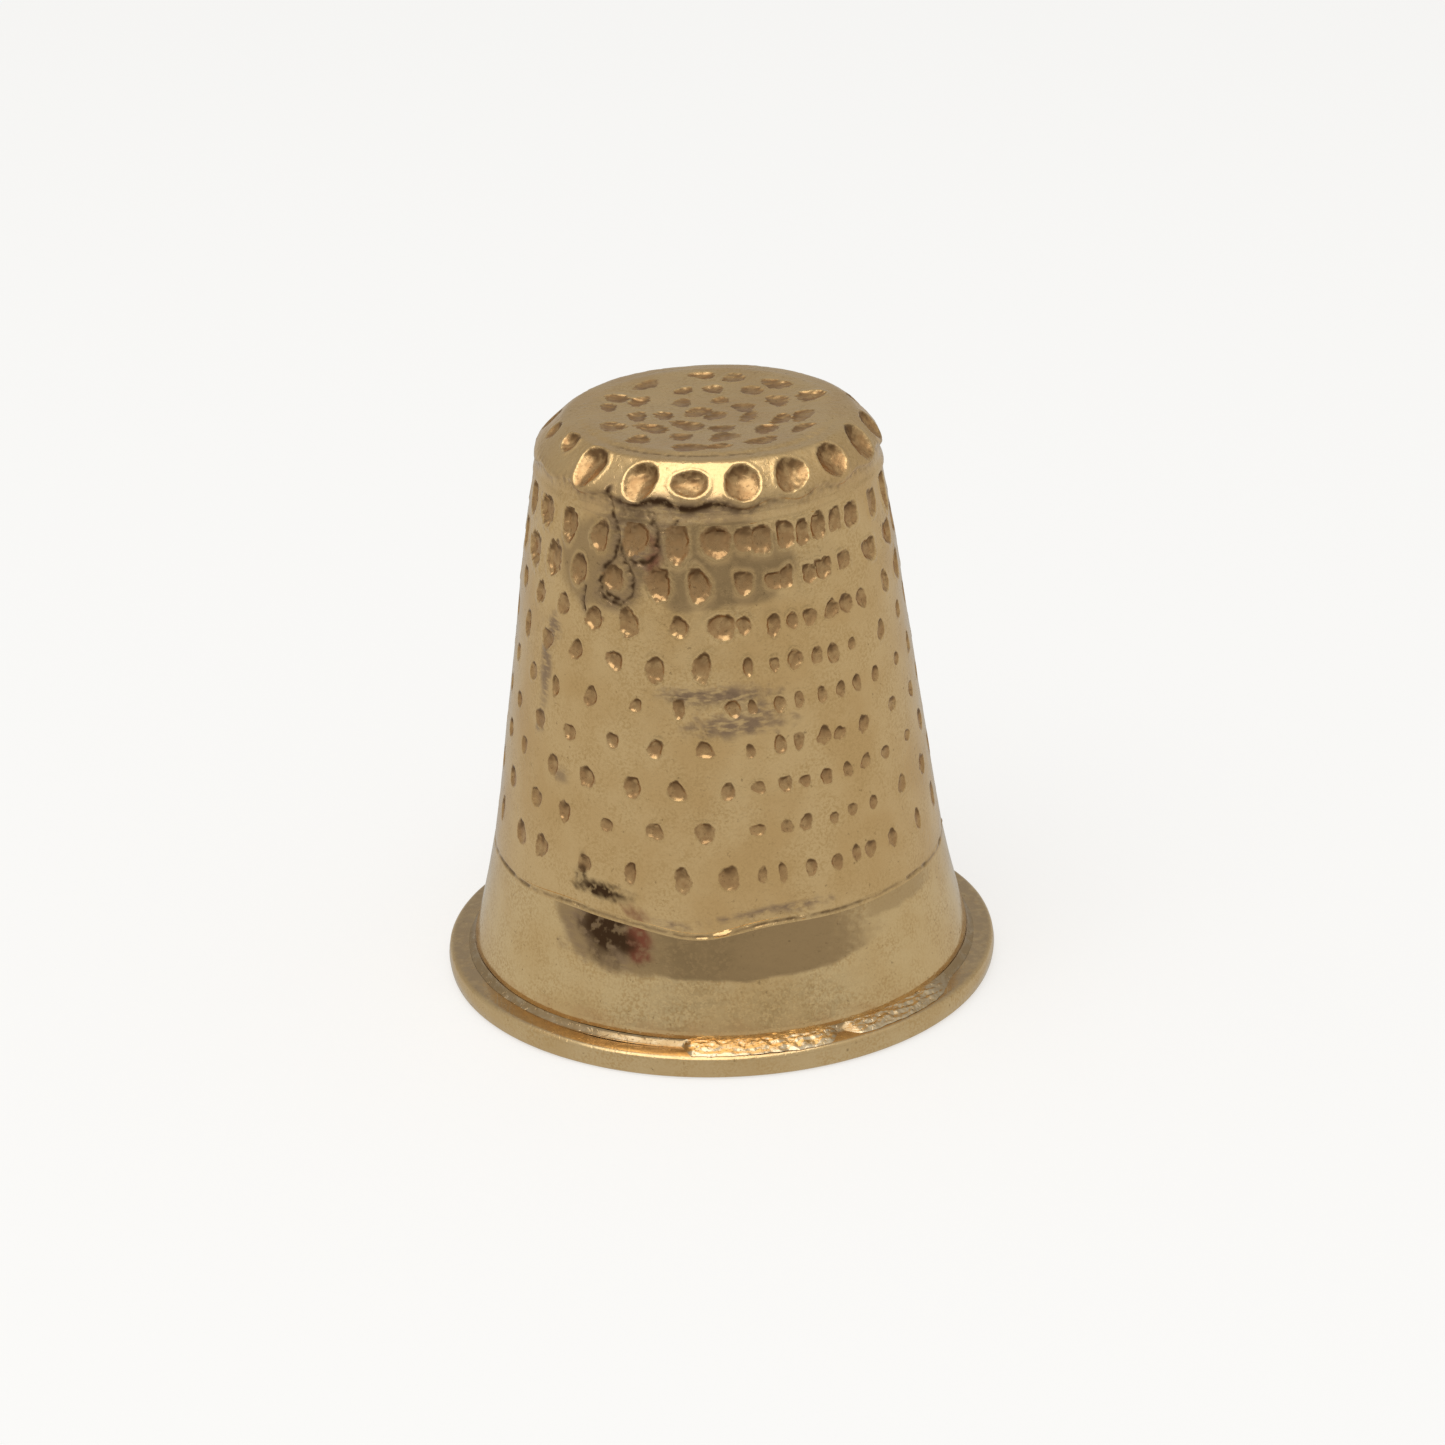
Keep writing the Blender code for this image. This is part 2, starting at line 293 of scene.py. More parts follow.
@dataclass
class Struck:
    """What has been struck into a surface so far, one value for each of its points."""

    points: np.ndarray
    sink: np.ndarray = field(init=False)
    inside: np.ndarray = field(init=False)
    lip: np.ndarray = field(init=False)
    nearest: np.ndarray = field(init=False)
    rough: np.ndarray = field(init=False)
    marks: dict[Channel, np.ndarray] = field(init=False)

    def __post_init__(self) -> None:
        """Starts with a plain surface."""
        count = len(self.points)
        self.sink, self.inside, self.lip = np.zeros(count), np.zeros(count), np.zeros(count)
        self.nearest = np.full(count, 2.0)
        self.rough = ripples(self.points, 0.24 * MM, 3, 12)
        self.marks = {channel: np.zeros(count) for channel in Channel}

    def darken(self, channel: Channel, values: np.ndarray, where: np.ndarray | slice = slice(None)) -> None:
        """Raises a surface mark to values, wherever it is lower than they are."""
        marks = self.marks[channel]
        marks[where] = np.maximum(marks[where], values)


@dataclass(frozen=True)
class Pit:
    """One struck pit: where its middle lies, which way it looks, its size and its shape.

    flat is the share of its radius that has a flat floor: 0 is a round bowl. skew makes it
    deeper at its top, and dirt_and_shade is how much painted shade lies under its upper edge.
    wobble bends the outline of its mouth and jag roughens it.
    """

    middle: np.ndarray
    normal: np.ndarray
    across: float
    tall: float
    depth: float
    lip: float
    flat: float
    dirt_and_shade: float
    skew: float
    wobble: float
    phase: float
    jag: float
    lip_width: float = 0.16
    mouth: Mouth = Mouth.ROUND

    reach: ClassVar[float] = 1.8
    bowl_power: ClassVar[float] = 0.85

    def place(self, points: np.ndarray) -> tuple[np.ndarray, np.ndarray, np.ndarray]:
        """Finds the points near the pit and where they lie on its mouth.

        Args:
            points: the surface's points, one row each.

        Returns:
            Indices of the near points, their distance from the middle in pit radii, and how
            far up they lie in pit radii.
        """
        reach = self.reach * max(self.across, self.tall)
        arm = points - self.middle
        near = np.flatnonzero(np.einsum("ij,ij->i", arm, arm) < reach * reach)
        around = np.array([-self.normal[1], self.normal[0], 0.0])
        around /= max(np.linalg.norm(around), 1e-9)
        up = np.cross(self.normal, around)
        u = arm[near] @ around / self.across
        v = arm[near] @ up / self.tall
        power = self.mouth.value
        rho = (np.abs(u) ** power + np.abs(v) ** power) ** (1.0 / power)
        theta = np.arctan2(v, u)
        bend = np.sin(2 * theta + self.phase) + 0.8 * np.sin(3 * theta - 2 * self.phase)
        rho *= 1.0 + self.wobble * bend
        return near, rho, v

    def hollow(self, rho: np.ndarray) -> np.ndarray:
        """How deep the pit is at a distance from its middle, as a share of its depth."""
        if self.flat > 0.0:
            return 1.0 - smooth(self.flat, 1.0, rho)
        return np.clip(1.0 - rho**2, 0.0, 1.0) ** self.bowl_power

    def press(self, struck: Struck) -> None:
        """Adds this pit to what has been struck so far.

        Args:
            struck: what has been struck into the surface so far.
        """
        near, rho, v = self.place(struck.points)
        rough = struck.rough[near]
        rho = rho + self.jag * rough
        depth = self.hollow(rho) * (1.0 + self.skew * np.clip(v, -1.0, 1.0))
        ring = bell(rho - 1.0, 0.8 * self.lip_width, self.lip_width)
        low = np.clip(-v, 0.0, 1.0)
        # painted shade: the upper part of the pit's inside, under its top edge, is darkened
        shadow = smooth(-0.15, 0.95, v + 0.18 * rough) * (1.0 - smooth(0.96, 1.04, rho))
        struck.sink[near] = np.maximum(struck.sink[near], self.depth * depth)
        struck.inside[near] = np.maximum(struck.inside[near], 1.0 - smooth(0.90, 1.0, rho))
        struck.lip[near] = np.maximum(struck.lip[near], self.lip * ring * (0.55 + 0.45 * low))
        struck.nearest[near] = np.minimum(struck.nearest[near], rho)
        struck.darken(Channel.GRIME_AND_SHADE, self.dirt_and_shade * shadow, near)


@dataclass(frozen=True)
class Crack:
    """An open line in the surface, as where solder has come out of a seam.

    Its places are azimuths in degrees and heights in millimetres, and its width and its depth
    are in millimetres.
    """

    places: tuple[Pair, ...]
    width: float
    depth: float

    halo: ClassVar[float] = 3.5

    def cut(self, form: Form, struck: Struck) -> None:
        """Sinks the line into a surface and darkens it.

        Args:
            form: the thimble's sizes.
            struck: what has been struck into the surface so far.
        """
        points, rough = struck.points, struck.rough
        azimuth = azimuth_of(points)
        width = self.width * MM
        wander = rough * 0.5 * width
        places = [(azimuth_at, z * MM) for azimuth_at, z in self.places]
        for (first, low), (second, high) in zip(places, places[1:]):
            radius = float(form.radius(0.5 * (low + high)))
            start = np.array([math.radians(first) * radius, low])
            end = np.array([math.radians(second) * radius, high])
            here = np.stack([azimuth * radius + wander, points[:, 2]], axis=1)
            line = end - start
            share = np.clip((here - start) @ line / (line @ line), 0.0, 1.0)
            gap = np.linalg.norm(here - start - share[:, None] * line, axis=1)
            near = bell(gap, 0.0, width * (1.0 + 0.35 * rough))
            struck.sink[:] = np.maximum(struck.sink, self.depth * MM * near)
            struck.darken(Channel.GRIME_AND_SHADE, near * np.clip(0.85 + 0.3 * rough, 0.0, 1.0))
            struck.darken(Channel.STAIN_AND_SHADE, 0.6 * bell(gap, 0.0, self.halo * width))


@dataclass(frozen=True)
class Patch:
    """A soft-edged area of stains, soil, painted reflection or denting on the wall or the skirt.

    Its azimuth is in degrees; its height z, its half width and height and its dent are in
    millimetres. soft is the width of its edge as a share of its size, and ends is the share of
    its width over which it fades sideways.
    """

    azimuth: float
    z: float
    wide: float
    tall: float
    strength: float
    channel: Channel
    dent: float = 0.0
    soft: float = 0.85
    ends: float = 0.0

    edge: ClassVar[float] = 1.2
    side_edge: ClassVar[float] = 1.05

    def weight(self, form: Form, struck: Struck) -> np.ndarray:
        """How strongly the patch covers each point.

        Args:
            form: the thimble's sizes.
            struck: what has been struck into the surface so far.

        Returns:
            One value for each point, from 0 to 1.
        """
        points = struck.points
        middle, tall = self.z * MM, self.tall * MM
        radius = float(form.radius(middle))
        u = wrapped(azimuth_of(points) - math.radians(self.azimuth)) * radius / (self.wide * MM)
        v = (points[:, 2] - middle) / tall
        away = np.sqrt(u * u + v * v)
        near = np.flatnonzero(away < 1.8)
        ragged = 0.26 * self.soft * ripples(points[near], 0.8 * tall, 57, 10)
        away[near] += ragged + 0.07 * self.soft * struck.rough[near]
        weight = 1.0 - smooth(self.edge - self.soft, self.edge, away)
        if self.ends:
            sideways = np.abs(u) + 0.05 * struck.rough
            weight *= 1.0 - smooth(self.side_edge - self.ends, self.side_edge, sideways)
        return weight


@dataclass
class Relief:
    """Everything struck, cut or worn into one surface, the shade and reflections painted on it, and what it
    tells the finish.
    """

    form: Form
    pits: list[Pit] = field(default_factory=list)
    cracks: tuple[Crack, ...] = ()
    patches: tuple[Patch, ...] = ()
    swell: float = 0.0
    seed: int = 1

    swell_length: ClassVar[float] = 4.5 * MM

    def near_edges(self, points: np.ndarray, low: float, high: float) -> np.ndarray:
        """Says which points lie near the edge of a pit or near a crack.

        Args:
            points: the points to test.
            low: distance from a pit's middle, in pit radii, where the zone begins.
            high: distance where it ends.

        Returns:
            True for each point in the zone.
        """
        found = np.zeros(len(points), bool)
        for pit in self.pits:
            near, rho, _ = pit.place(points)
            found[near] |= (rho > low) & (rho < high)
        if self.cracks:
            struck = Struck(points)
            for crack in self.cracks:
                crack.cut(self.form, struck)
            found |= struck.marks[Channel.GRIME_AND_SHADE] > 0.05
        return found

    def shape(self, struck: Struck) -> np.ndarray:
        """Extra rise of each point that is neither pit, crack nor patch."""
        return np.zeros(len(struck.points))

    def strike(self, mesh: bpy.types.Mesh, normals: np.ndarray, outside: np.ndarray) -> None:
        """Moves the outside points of a mesh and writes its surface marks.

        Args:
            mesh: the mesh to change.
            normals: outward direction at each vertex.
            outside: weight of each vertex, 1 on the outside and 0 on the inside.
        """
        points = read_points(mesh)
        struck = Struck(points)
        rise = self.shape(struck)
        for pit in self.pits:
            pit.press(struck)
        for crack in self.cracks:
            crack.cut(self.form, struck)
        rise += struck.lip * (1.0 - struck.inside) - struck.sink
        rise += self.swell * ripples(points, self.swell_length, self.seed) + 0.12 * self.swell * struck.rough
        for patch in self.patches:
            weight = patch.weight(self.form, struck)
            struck.darken(patch.channel, patch.strength * weight)
            rise -= patch.dent * MM * weight * (1.0 + 0.8 * struck.rough)
        struck.marks[Channel.PIT] = np.clip(1.5 - struck.nearest, 0.0, 1.5)
        # painted highlight: the painted reflection is lifted in a ring round each pit's mouth, where the
        # raised lip catches light
        struck.marks[Channel.SHADE] *= 1.0 - 0.45 * bell(struck.nearest, 1.12, 0.17)
        points += normals * (rise * outside)[:, None]
        write_points(mesh, points)
        for channel, values in struck.marks.items():
            layer = mesh.attributes.new(channel.value, "FLOAT", "POINT")
            layer.data.foreach_set("value", (values * outside).astype(np.float32))


def read_points(mesh: bpy.types.Mesh, name: str = "co") -> np.ndarray:
    """Reads a vector from each vertex of a mesh.

    Args:
        mesh: the mesh to read.
        name: "co" for the places or "normal" for the normals.

    Returns:
        One row for each vertex.
    """
    flat = np.empty(len(mesh.vertices) * 3, np.float32)
    mesh.vertices.foreach_get(name, flat)
    return flat.reshape(-1, 3).astype(float)


def write_points(mesh: bpy.types.Mesh, points: np.ndarray) -> None:
    """Moves every vertex to its row of points."""
    mesh.vertices.foreach_set("co", points.astype(np.float32).ravel())
    mesh.update()


# Finishes


@dataclass
class Graph:
    """A material's nodes, with short calls to add them."""

    tree: bpy.types.NodeTree

    def add(self, kind: str, **values: object) -> bpy.types.Node:
        """Adds a node.

        Args:
            kind: the node's type.
            **values: properties to set on it.

        Returns:
            The node.
        """
        node = self.tree.nodes.new(kind)
        for name, value in values.items():
            setattr(node, name, value)
        return node

    def join(self, source: Socket, target: Socket) -> None:
        """Links one socket to another."""
        self.tree.links.new(source, target)

    def feed(self, value: object, target: Socket) -> None:
        """Links a socket to the target, or sets a number or a colour on it."""
        if isinstance(value, Socket):
            self.join(value, target)
        else:
            target.default_value = (*value, 1.0) if isinstance(value, tuple) else value

    def maths(self, operation: str, first: object, second: object) -> Socket:
        """A Math node of two sockets or numbers.

        Args:
            operation: the Math node's operation.
            first: socket or number.
            second: socket or number.

        Returns:
            The result's socket.
        """
        node = self.add("ShaderNodeMath", operation=operation)
        self.feed(first, node.inputs[0])
        self.feed(second, node.inputs[1])
        return node.outputs[0]

    def times(self, first: object, second: object) -> Socket:
        """The product of two sockets or numbers."""
        return self.maths("MULTIPLY", first, second)

    def ranged(self, value: Socket, lows: Pair, highs: Pair) -> Socket:
        """Maps a value's range to another one, clamped and eased.

        Args:
            value: the socket to map.
            lows: the range it comes from.
            highs: the range it goes to.

        Returns:
            The result's socket.
        """
        node = self.add("ShaderNodeMapRange", interpolation_type="SMOOTHSTEP")
        self.join(value, node.inputs["Value"])
        node.inputs["From Min"].default_value, node.inputs["From Max"].default_value = lows
        node.inputs["To Min"].default_value, node.inputs["To Max"].default_value = highs
        return node.outputs["Result"]

    def noise(self, place: Socket, size: float, detail: float,
              stretch: Colour = (1.0, 1.0, 1.0), turn: Colour = (0.0, 0.0, 0.0)) -> Socket:
        """Noise, from about 0 to 1.

        Args:
            place: where it is read.
            size: about how large its features are.
            detail: how many finer layers it has.
            stretch: scale along each axis.
            turn: rotation about each axis.

        Returns:
            The noise's socket.
        """
        mapping = self.add("ShaderNodeMapping")
        self.join(place, mapping.inputs["Vector"])
        mapping.inputs["Scale"].default_value = stretch
        mapping.inputs["Rotation"].default_value = turn
        node = self.add("ShaderNodeTexNoise")
        self.join(mapping.outputs["Vector"], node.inputs["Vector"])
        node.inputs["Scale"].default_value = 1.0 / size
        node.inputs["Detail"].default_value = detail
        return node.outputs["Fac"]

    def mark(self, channel: Channel) -> Socket:
        """The value of one of the mesh's surface marks."""
        return self.add("ShaderNodeAttribute", attribute_name=channel.value).outputs["Fac"]

    def blend(self, share: Socket, first: object, second: object) -> Socket:
        """Mixes two colours.

        Args:
            share: how much of the second one shows.
            first: socket or colour.
            second: socket or colour.

        Returns:
            The mixed colour's socket.
        """
        node = self.add("ShaderNodeMix", data_type="RGBA")
        self.join(share, node.inputs[0])
        self.feed(first, node.inputs[6])
        self.feed(second, node.inputs[7])
        return node.outputs[2]

    def bump(self, height: Socket, distance: float, under: Socket | None = None) -> Socket:
        """A Bump node.

        Args:
            height: the pattern, from 0 to 1.
            distance: how high it stands where the pattern is 1.
            under: the normal of the bump below it, if there is one.

        Returns:
            The normal's socket.
        """
        node = self.add("ShaderNodeBump")
        self.join(height, node.inputs["Height"])
        node.inputs["Strength"].default_value = 1.0
        node.inputs["Distance"].default_value = distance
        if under is not None:
            self.join(under, node.inputs["Normal"])
        return node.outputs["Normal"]


@dataclass(frozen=True)
class GoldFinish:
    """Worn gold: two tints, pit floors partly tarnished and partly painted shade, soil and painted shade in
    hollows, painted reflections, fine scratches, pores and soft dents.
    """

    name: str
    light: Colour = (0.95, 0.670, 0.330)
    deep: Colour = (0.85, 0.562, 0.250)
    worn: Colour = (0.76, 0.50, 0.215)
    # pit floors: partly tarnish, partly painted shade of the hollow
    pit: Colour = (0.58, 0.345, 0.155)
    # near-black: soil in cracks and pits, and painted shade in the upper insides of pits and under the cap's
    # step
    grime_and_shade: Colour = (0.095, 0.050, 0.024)
    # stains, and painted shade under the cap's step and on the rim's smooth solder
    stain_and_shade: Colour = (0.42, 0.28, 0.17)
    # painted reflection of dark things in front of the thimble
    shade: Colour = (0.50, 0.335, 0.165)
    # orange-brown: painted reflection of the skirt on the rim's top, painted shade on the rim's smooth
    # solder
    blush: Colour = (0.74, 0.44, 0.19)
    # reddish: by the skirt's seam partly a painted reflection of dark things in front
    copper: Colour = (0.34, 0.115, 0.065)
    gloss: Pair = (0.12, 0.24)
    dirt_haze: float = 0.30
    pit_haze: float = 0.12
    scratches: float = 0.0022 * MM
    dimples: float = 0.008 * MM
    pores: float = 0.004 * MM

    scratch_turns: ClassVar[tuple[Colour, ...]] = ((0.3, 0.5, 0.2), (1.2, 0.1, 0.9), (0.4, 1.4, 2.1))

    def material(self) -> bpy.types.Material:
        """Makes the material, unless it is already there.

        Returns:
            The material.
        """
        found = bpy.data.materials.get(self.name)
        if found:
            return found
        material = bpy.data.materials.new(self.name)
        material.use_nodes = True
        graph = Graph(material.node_tree)
        shader = material.node_tree.nodes["Principled BSDF"]
        place = graph.add("ShaderNodeTexCoord").outputs["Object"]
        self._tint(graph, shader, place)
        self._relief(graph, shader, place)
        return material

    def _tint(self, graph: Graph, shader: bpy.types.Node, place: Socket) -> None:
        """Sets the shader's colour, metal share and roughness.

        Args:
            graph: the material's nodes.
            shader: the shader to feed.
            place: the point on the piece.
        """
        cloud = graph.noise(place, 0.32 * MM, 5.0)
        speck = graph.noise(place, 0.11 * MM, 3.0)
        smears = graph.noise(place, 0.5 * MM, 4.0, (1.0, 1.0, 3.2))
        mottle = graph.ranged(graph.noise(place, 2.4 * MM, 3.0), (0.35, 0.68), UNIT)
        fine_wear = graph.ranged(graph.noise(place, 0.10 * MM, 5.0), (0.42, 0.62), UNIT)
        wide_wear = graph.ranged(graph.noise(place, 1.1 * MM, 3.0), (0.36, 0.62), (0.15, 0.75))
        colour = graph.blend(mottle, self.light, self.deep)
        colour = graph.blend(graph.times(fine_wear, wide_wear), colour, self.worn)
        # painted reflection of dark things in front of the thimble
        colour = graph.blend(graph.ranged(graph.mark(Channel.SHADE), UNIT, UNIT), colour, self.shade)
        for channel, pattern, lows, highs, tint in (
            (Channel.BLUSH, cloud, (0.25, 0.6), (0.45, 1.0), self.blush),
            (Channel.STAIN_AND_SHADE, smears, (0.34, 0.56), (0.15, 1.0), self.stain_and_shade),
            (Channel.COPPER, cloud, (0.25, 0.55), (0.4, 1.0), self.copper),
        ):
            share = graph.times(graph.mark(channel), graph.ranged(pattern, lows, highs))
            colour = graph.blend(share, colour, tint)
        ragged = graph.maths("ADD", graph.mark(Channel.PIT), graph.ranged(speck, (0.3, 0.7), (-0.05, 0.05)))
        floor = graph.ranged(ragged, (0.46, 0.60), UNIT)
        dull = graph.times(floor, graph.ranged(cloud, (0.3, 0.65), (0.55, 1.0)))
        # pit floors take the darker pit tint: partly tarnish, partly painted shade of the hollow
        colour = graph.blend(dull, colour, self.pit)
        pit_dirt = graph.times(floor, graph.ranged(speck, (0.56, 0.74), (0.0, 0.4)))
        # soil in cracks and seams, and painted shade in the upper insides of pits and under the cap's step
        patchy_grime_and_shade = graph.times(graph.mark(Channel.GRIME_AND_SHADE), graph.ranged(cloud, (0.36, 0.52), (0.35, 1.0)))
        stray_dirt = graph.ranged(graph.noise(place, 0.2 * MM, 6.0), (0.66, 0.76), (0.0, 0.4))
        dirt_and_shade = graph.maths("MAXIMUM", graph.maths("MAXIMUM", pit_dirt, patchy_grime_and_shade), stray_dirt)
        colour = graph.blend(dirt_and_shade, colour, self.grime_and_shade)
        graph.join(colour, shader.inputs["Base Color"])
        shader.inputs["Metallic"].default_value = 1.0
        wear = graph.ranged(graph.noise(place, 0.9 * MM, 4.0), (0.35, 0.7), self.gloss)
        haze = graph.maths("ADD", graph.times(dirt_and_shade, self.dirt_haze), graph.times(dull, self.pit_haze))
        graph.join(graph.maths("ADD", wear, haze), shader.inputs["Roughness"])

    def _relief(self, graph: Graph, shader: bpy.types.Node, place: Socket) -> None:
        """Gives the shader soft dents, pores and fine scratches, as bump.

        Args:
            graph: the material's nodes.
            shader: the shader to feed.
            place: the point on the piece.
        """
        normal = graph.bump(graph.noise(place, 0.75 * MM, 2.0), self.dimples)
        pore = graph.ranged(graph.noise(place, 0.16 * MM, 3.0), (0.28, 0.42), UNIT)
        normal = graph.bump(pore, self.pores, normal)
        for turn in self.scratch_turns:
            lines = graph.noise(place, 0.22 * MM, 1.0, (1.0, 0.05, 1.0), turn)
            groove = graph.ranged(lines, (0.30, 0.36), UNIT)
            normal = graph.bump(groove, self.scratches, normal)
        graph.join(normal, shader.inputs["Normal"])


STRUCK_GOLD = GoldFinish("struck gold")
# its darker pit tint paints more shade into the cap's large bowls
CROWN_GOLD = GoldFinish(
    "crown gold", light=(0.93, 0.655, 0.325), deep=(0.86, 0.575, 0.27), pit=(0.52, 0.30, 0.13),
    gloss=(0.18, 0.29), dimples=0.010 * MM,
)
SEAM_GOLD = GoldFinish("seam gold", stain_and_shade=(0.30, 0.19, 0.10))
BURNISHED_GOLD = GoldFinish(
    "burnished gold", light=(0.98, 0.72, 0.37), deep=(0.91, 0.635, 0.30),
    gloss=(0.11, 0.20), dimples=0.003 * MM,
)
# its blush paints the skirt's reflection on the rim's top
RIM_GOLD = GoldFinish(
    "rim gold", light=(0.90, 0.66, 0.35), deep=(0.84, 0.59, 0.29), blush=(0.56, 0.40, 0.235),
    gloss=(0.15, 0.28),
)
# its blush and darker tint paint shade on the smooth solder of the rim
SOLDER_GOLD = GoldFinish(
    "solder gold", light=(0.93, 0.78, 0.54), deep=(0.84, 0.66, 0.42), blush=(0.46, 0.33, 0.19),
    stain_and_shade=(0.50, 0.34, 0.17), gloss=(0.14, 0.30), dimples=0.02 * MM, pores=0.012 * MM,
)


# Pieces


def resampled(outline: Outline, step: float) -> Outline:
    """The same outline with its points about step apart.

    Args:
        outline: the points of a smooth open line.
        step: the distance to leave between points.

    Returns:
        The new points, with the old first and last ones.
    """
    line = np.array(outline)
    run = np.concatenate([[0.0], np.cumsum(np.linalg.norm(np.diff(line, axis=0), axis=1))])
    marks = np.linspace(0.0, run[-1], max(2, round(run[-1] / step) + 1))
    return list(zip(np.interp(marks, run, line[:, 0]), np.interp(marks, run, line[:, 1])))


@dataclass
class TurnedPiece:
    """A piece spun from a section round the thimble's axis.

    Sub-classes give the section and the marks; build() makes the object and dresses it.
    """

    form: Form
    name: str
    node: str
    slot: str
    finish: GoldFinish
    steps: int
    start: float = 0.0
    sweep: float = math.tau
    ends_on_axis: bool = False
    zones: tuple[Pair, ...] = ()

    own_normals: ClassVar[bool] = False
    follows_crease: ClassVar[bool] = False

    def section(self) -> Outline:
        """The (radius, z) outline of the piece, outside downwards first."""
        raise NotImplementedError

    def relief(self) -> Relief:
        """The marks on the piece's outside."""
        raise NotImplementedError

    def outside(self, points: np.ndarray) -> np.ndarray:
        """Weight of each point in the relief: 1 outside, 0 inside."""
        depth = self.form.radius(points[:, 2]) - radius_of(points)
        return 1.0 - smooth(0.1 * MM, 0.3 * MM, depth)

    def normals(self, mesh: bpy.types.Mesh, points: np.ndarray) -> np.ndarray:
        """The direction that each point is moved along: the mesh's own or the form's."""
        return read_points(mesh, "normal") if self.own_normals else self.form.outward(points)

    def warp(self, points: np.ndarray) -> np.ndarray:
        """The points after the piece's own slow bends."""
        return crease_wander(self.form, points) if self.follows_crease else points

    def build(self) -> None:
        """Spins the section, strikes the marks, dresses the piece and puts it on the frame."""
        mesh = bpy.data.meshes.new(self.name)
        relief = self.relief()
        bm = self._spun()
        for low, high in self.zones:
            self._refine(bm, relief, low, high)
        bm.to_mesh(mesh)
        bm.free()
        piece = bpy.data.objects.new(self.name, mesh)
        bpy.context.scene.collection.objects.link(piece)
        points = read_points(mesh)
        relief.strike(mesh, self.normals(mesh, points), self.outside(points))
        write_points(mesh, self.warp(read_points(mesh)))
        mesh.shade_smooth()
        mesh.set_sharp_from_angle(angle=SHARP_EDGE)
        mesh.materials.append(self.finish.material())
        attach(piece, BODY)
        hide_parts(self.node)
        triangles = sum(len(face.vertices) - 2 for face in mesh.polygons)
        LOG.info("%s: %d triangles stand for %s", self.name, triangles, self.node)

    def _spun(self) -> bmesh.types.BMesh:
        """Spins the section.

        Returns:
            A closed bmesh with its faces outwards.
        """
        bm = bmesh.new()
        turn = Matrix.Rotation(self.start, 4, "Z")
        verts = [bm.verts.new(turn @ Vector((0.0, -radius, z))) for radius, z in self.section()]
        pairs = list(zip(verts, verts[1:]))
        if not self.ends_on_axis:
            pairs.append((verts[-1], verts[0]))
        edges = [bm.edges.new(pair) for pair in pairs]
        whole = math.isclose(self.sweep, math.tau)
        bmesh.ops.spin(bm, geom=verts + edges, axis=(0, 0, 1), cent=(0, 0, 0), angle=self.sweep,
                       steps=self.steps, use_merge=whole)
        bmesh.ops.remove_doubles(bm, verts=bm.verts, dist=1e-7)
        if not whole:
            bmesh.ops.holes_fill(bm, edges=[edge for edge in bm.edges if edge.is_boundary], sides=0)
        bmesh.ops.recalc_face_normals(bm, faces=bm.faces)
        return bm

    def _refine(self, bm: bmesh.types.BMesh, relief: Relief, low: float, high: float) -> None:
        """Halves the outside faces whose corners lie in a zone round the pits and cracks.

        Args:
            bm: the mesh to refine.
            relief: the marks that will be struck into it.
            low: where the zone begins, in pit radii.
            high: where it ends.
        """
        points = np.array([tuple(vert.co) for vert in bm.verts])
        wanted = relief.near_edges(points, low, high) & (self.outside(points) > 0.5)
        bm.verts.index_update()
        edges = [edge for edge in bm.edges if wanted[edge.verts[0].index] or wanted[edge.verts[1].index]]
        bmesh.ops.subdivide_edges(bm, edges=edges, cuts=1, use_grid_fill=True)


def crease_wander(form: Form, points: np.ndarray) -> np.ndarray:
    """Lifts and drops the joint between wall and skirt a little, as hand work does.

    Args:
        form: the thimble's sizes.
        points: the points to move, one row each.

    Returns:
        The same points, moved.
    """
    azimuth = np.degrees(azimuth_of(points))
    wave = 0.20 + 0.05 * np.sin(np.radians(3.0 * azimuth + 60.0)) + 0.035 * np.sin(np.radians(9.0 * azimuth))
    for lift, middle, width in ((-0.42, -5.0, 13.0), (0.24, -43.0, 12.0)):
        wave += lift * bell(azimuth, middle, width)
    points[:, 2] += wave * MM * bell(points[:, 2], form.crease, 1.1 * MM)
    return points


@dataclass
class Seam:
    """Where the rolled strips meet, and the cracks that lie along it."""

    azimuth: float = math.radians(-28.2)
    width: float = 0.45 * MM
    cracks: tuple[Crack, ...] = (
        Crack(((-34.8, 20.15), (-33.6, 19.6), (-31.4, 19.1), (-29.9, 18.43), (-31.1, 17.85),
               (-34.5, 17.37), (-35.7, 16.93), (-33.2, 16.51), (-27.5, 16.34), (-24.9, 16.59),
               (-24.2, 17.14), (-26.7, 17.65), (-29.4, 18.30)), 0.085, 0.05),
        Crack(((-18.6, 19.5), (-17.0, 18.87), (-16.3, 18.26), (-19.5, 17.78), (-24.5, 17.75)), 0.10, 0.04),
        Crack(((-19.1, 19.12), (-16.5, 18.91), (-12.8, 18.98), (-10.0, 19.3)), 0.05, 0.03),
        Crack(((-36.0, 16.55), (-33.0, 16.28), (-28.5, 16.22)), 0.10, 0.05),
        Crack(((-41.5, 16.6), (-42.2, 16.05), (-41.0, 15.75)), 0.045, 0.06),
    )

    def angle(self, form: Form) -> float:
        """Width of the seam as an angle, in radians."""
        return self.width / form.waist_radius


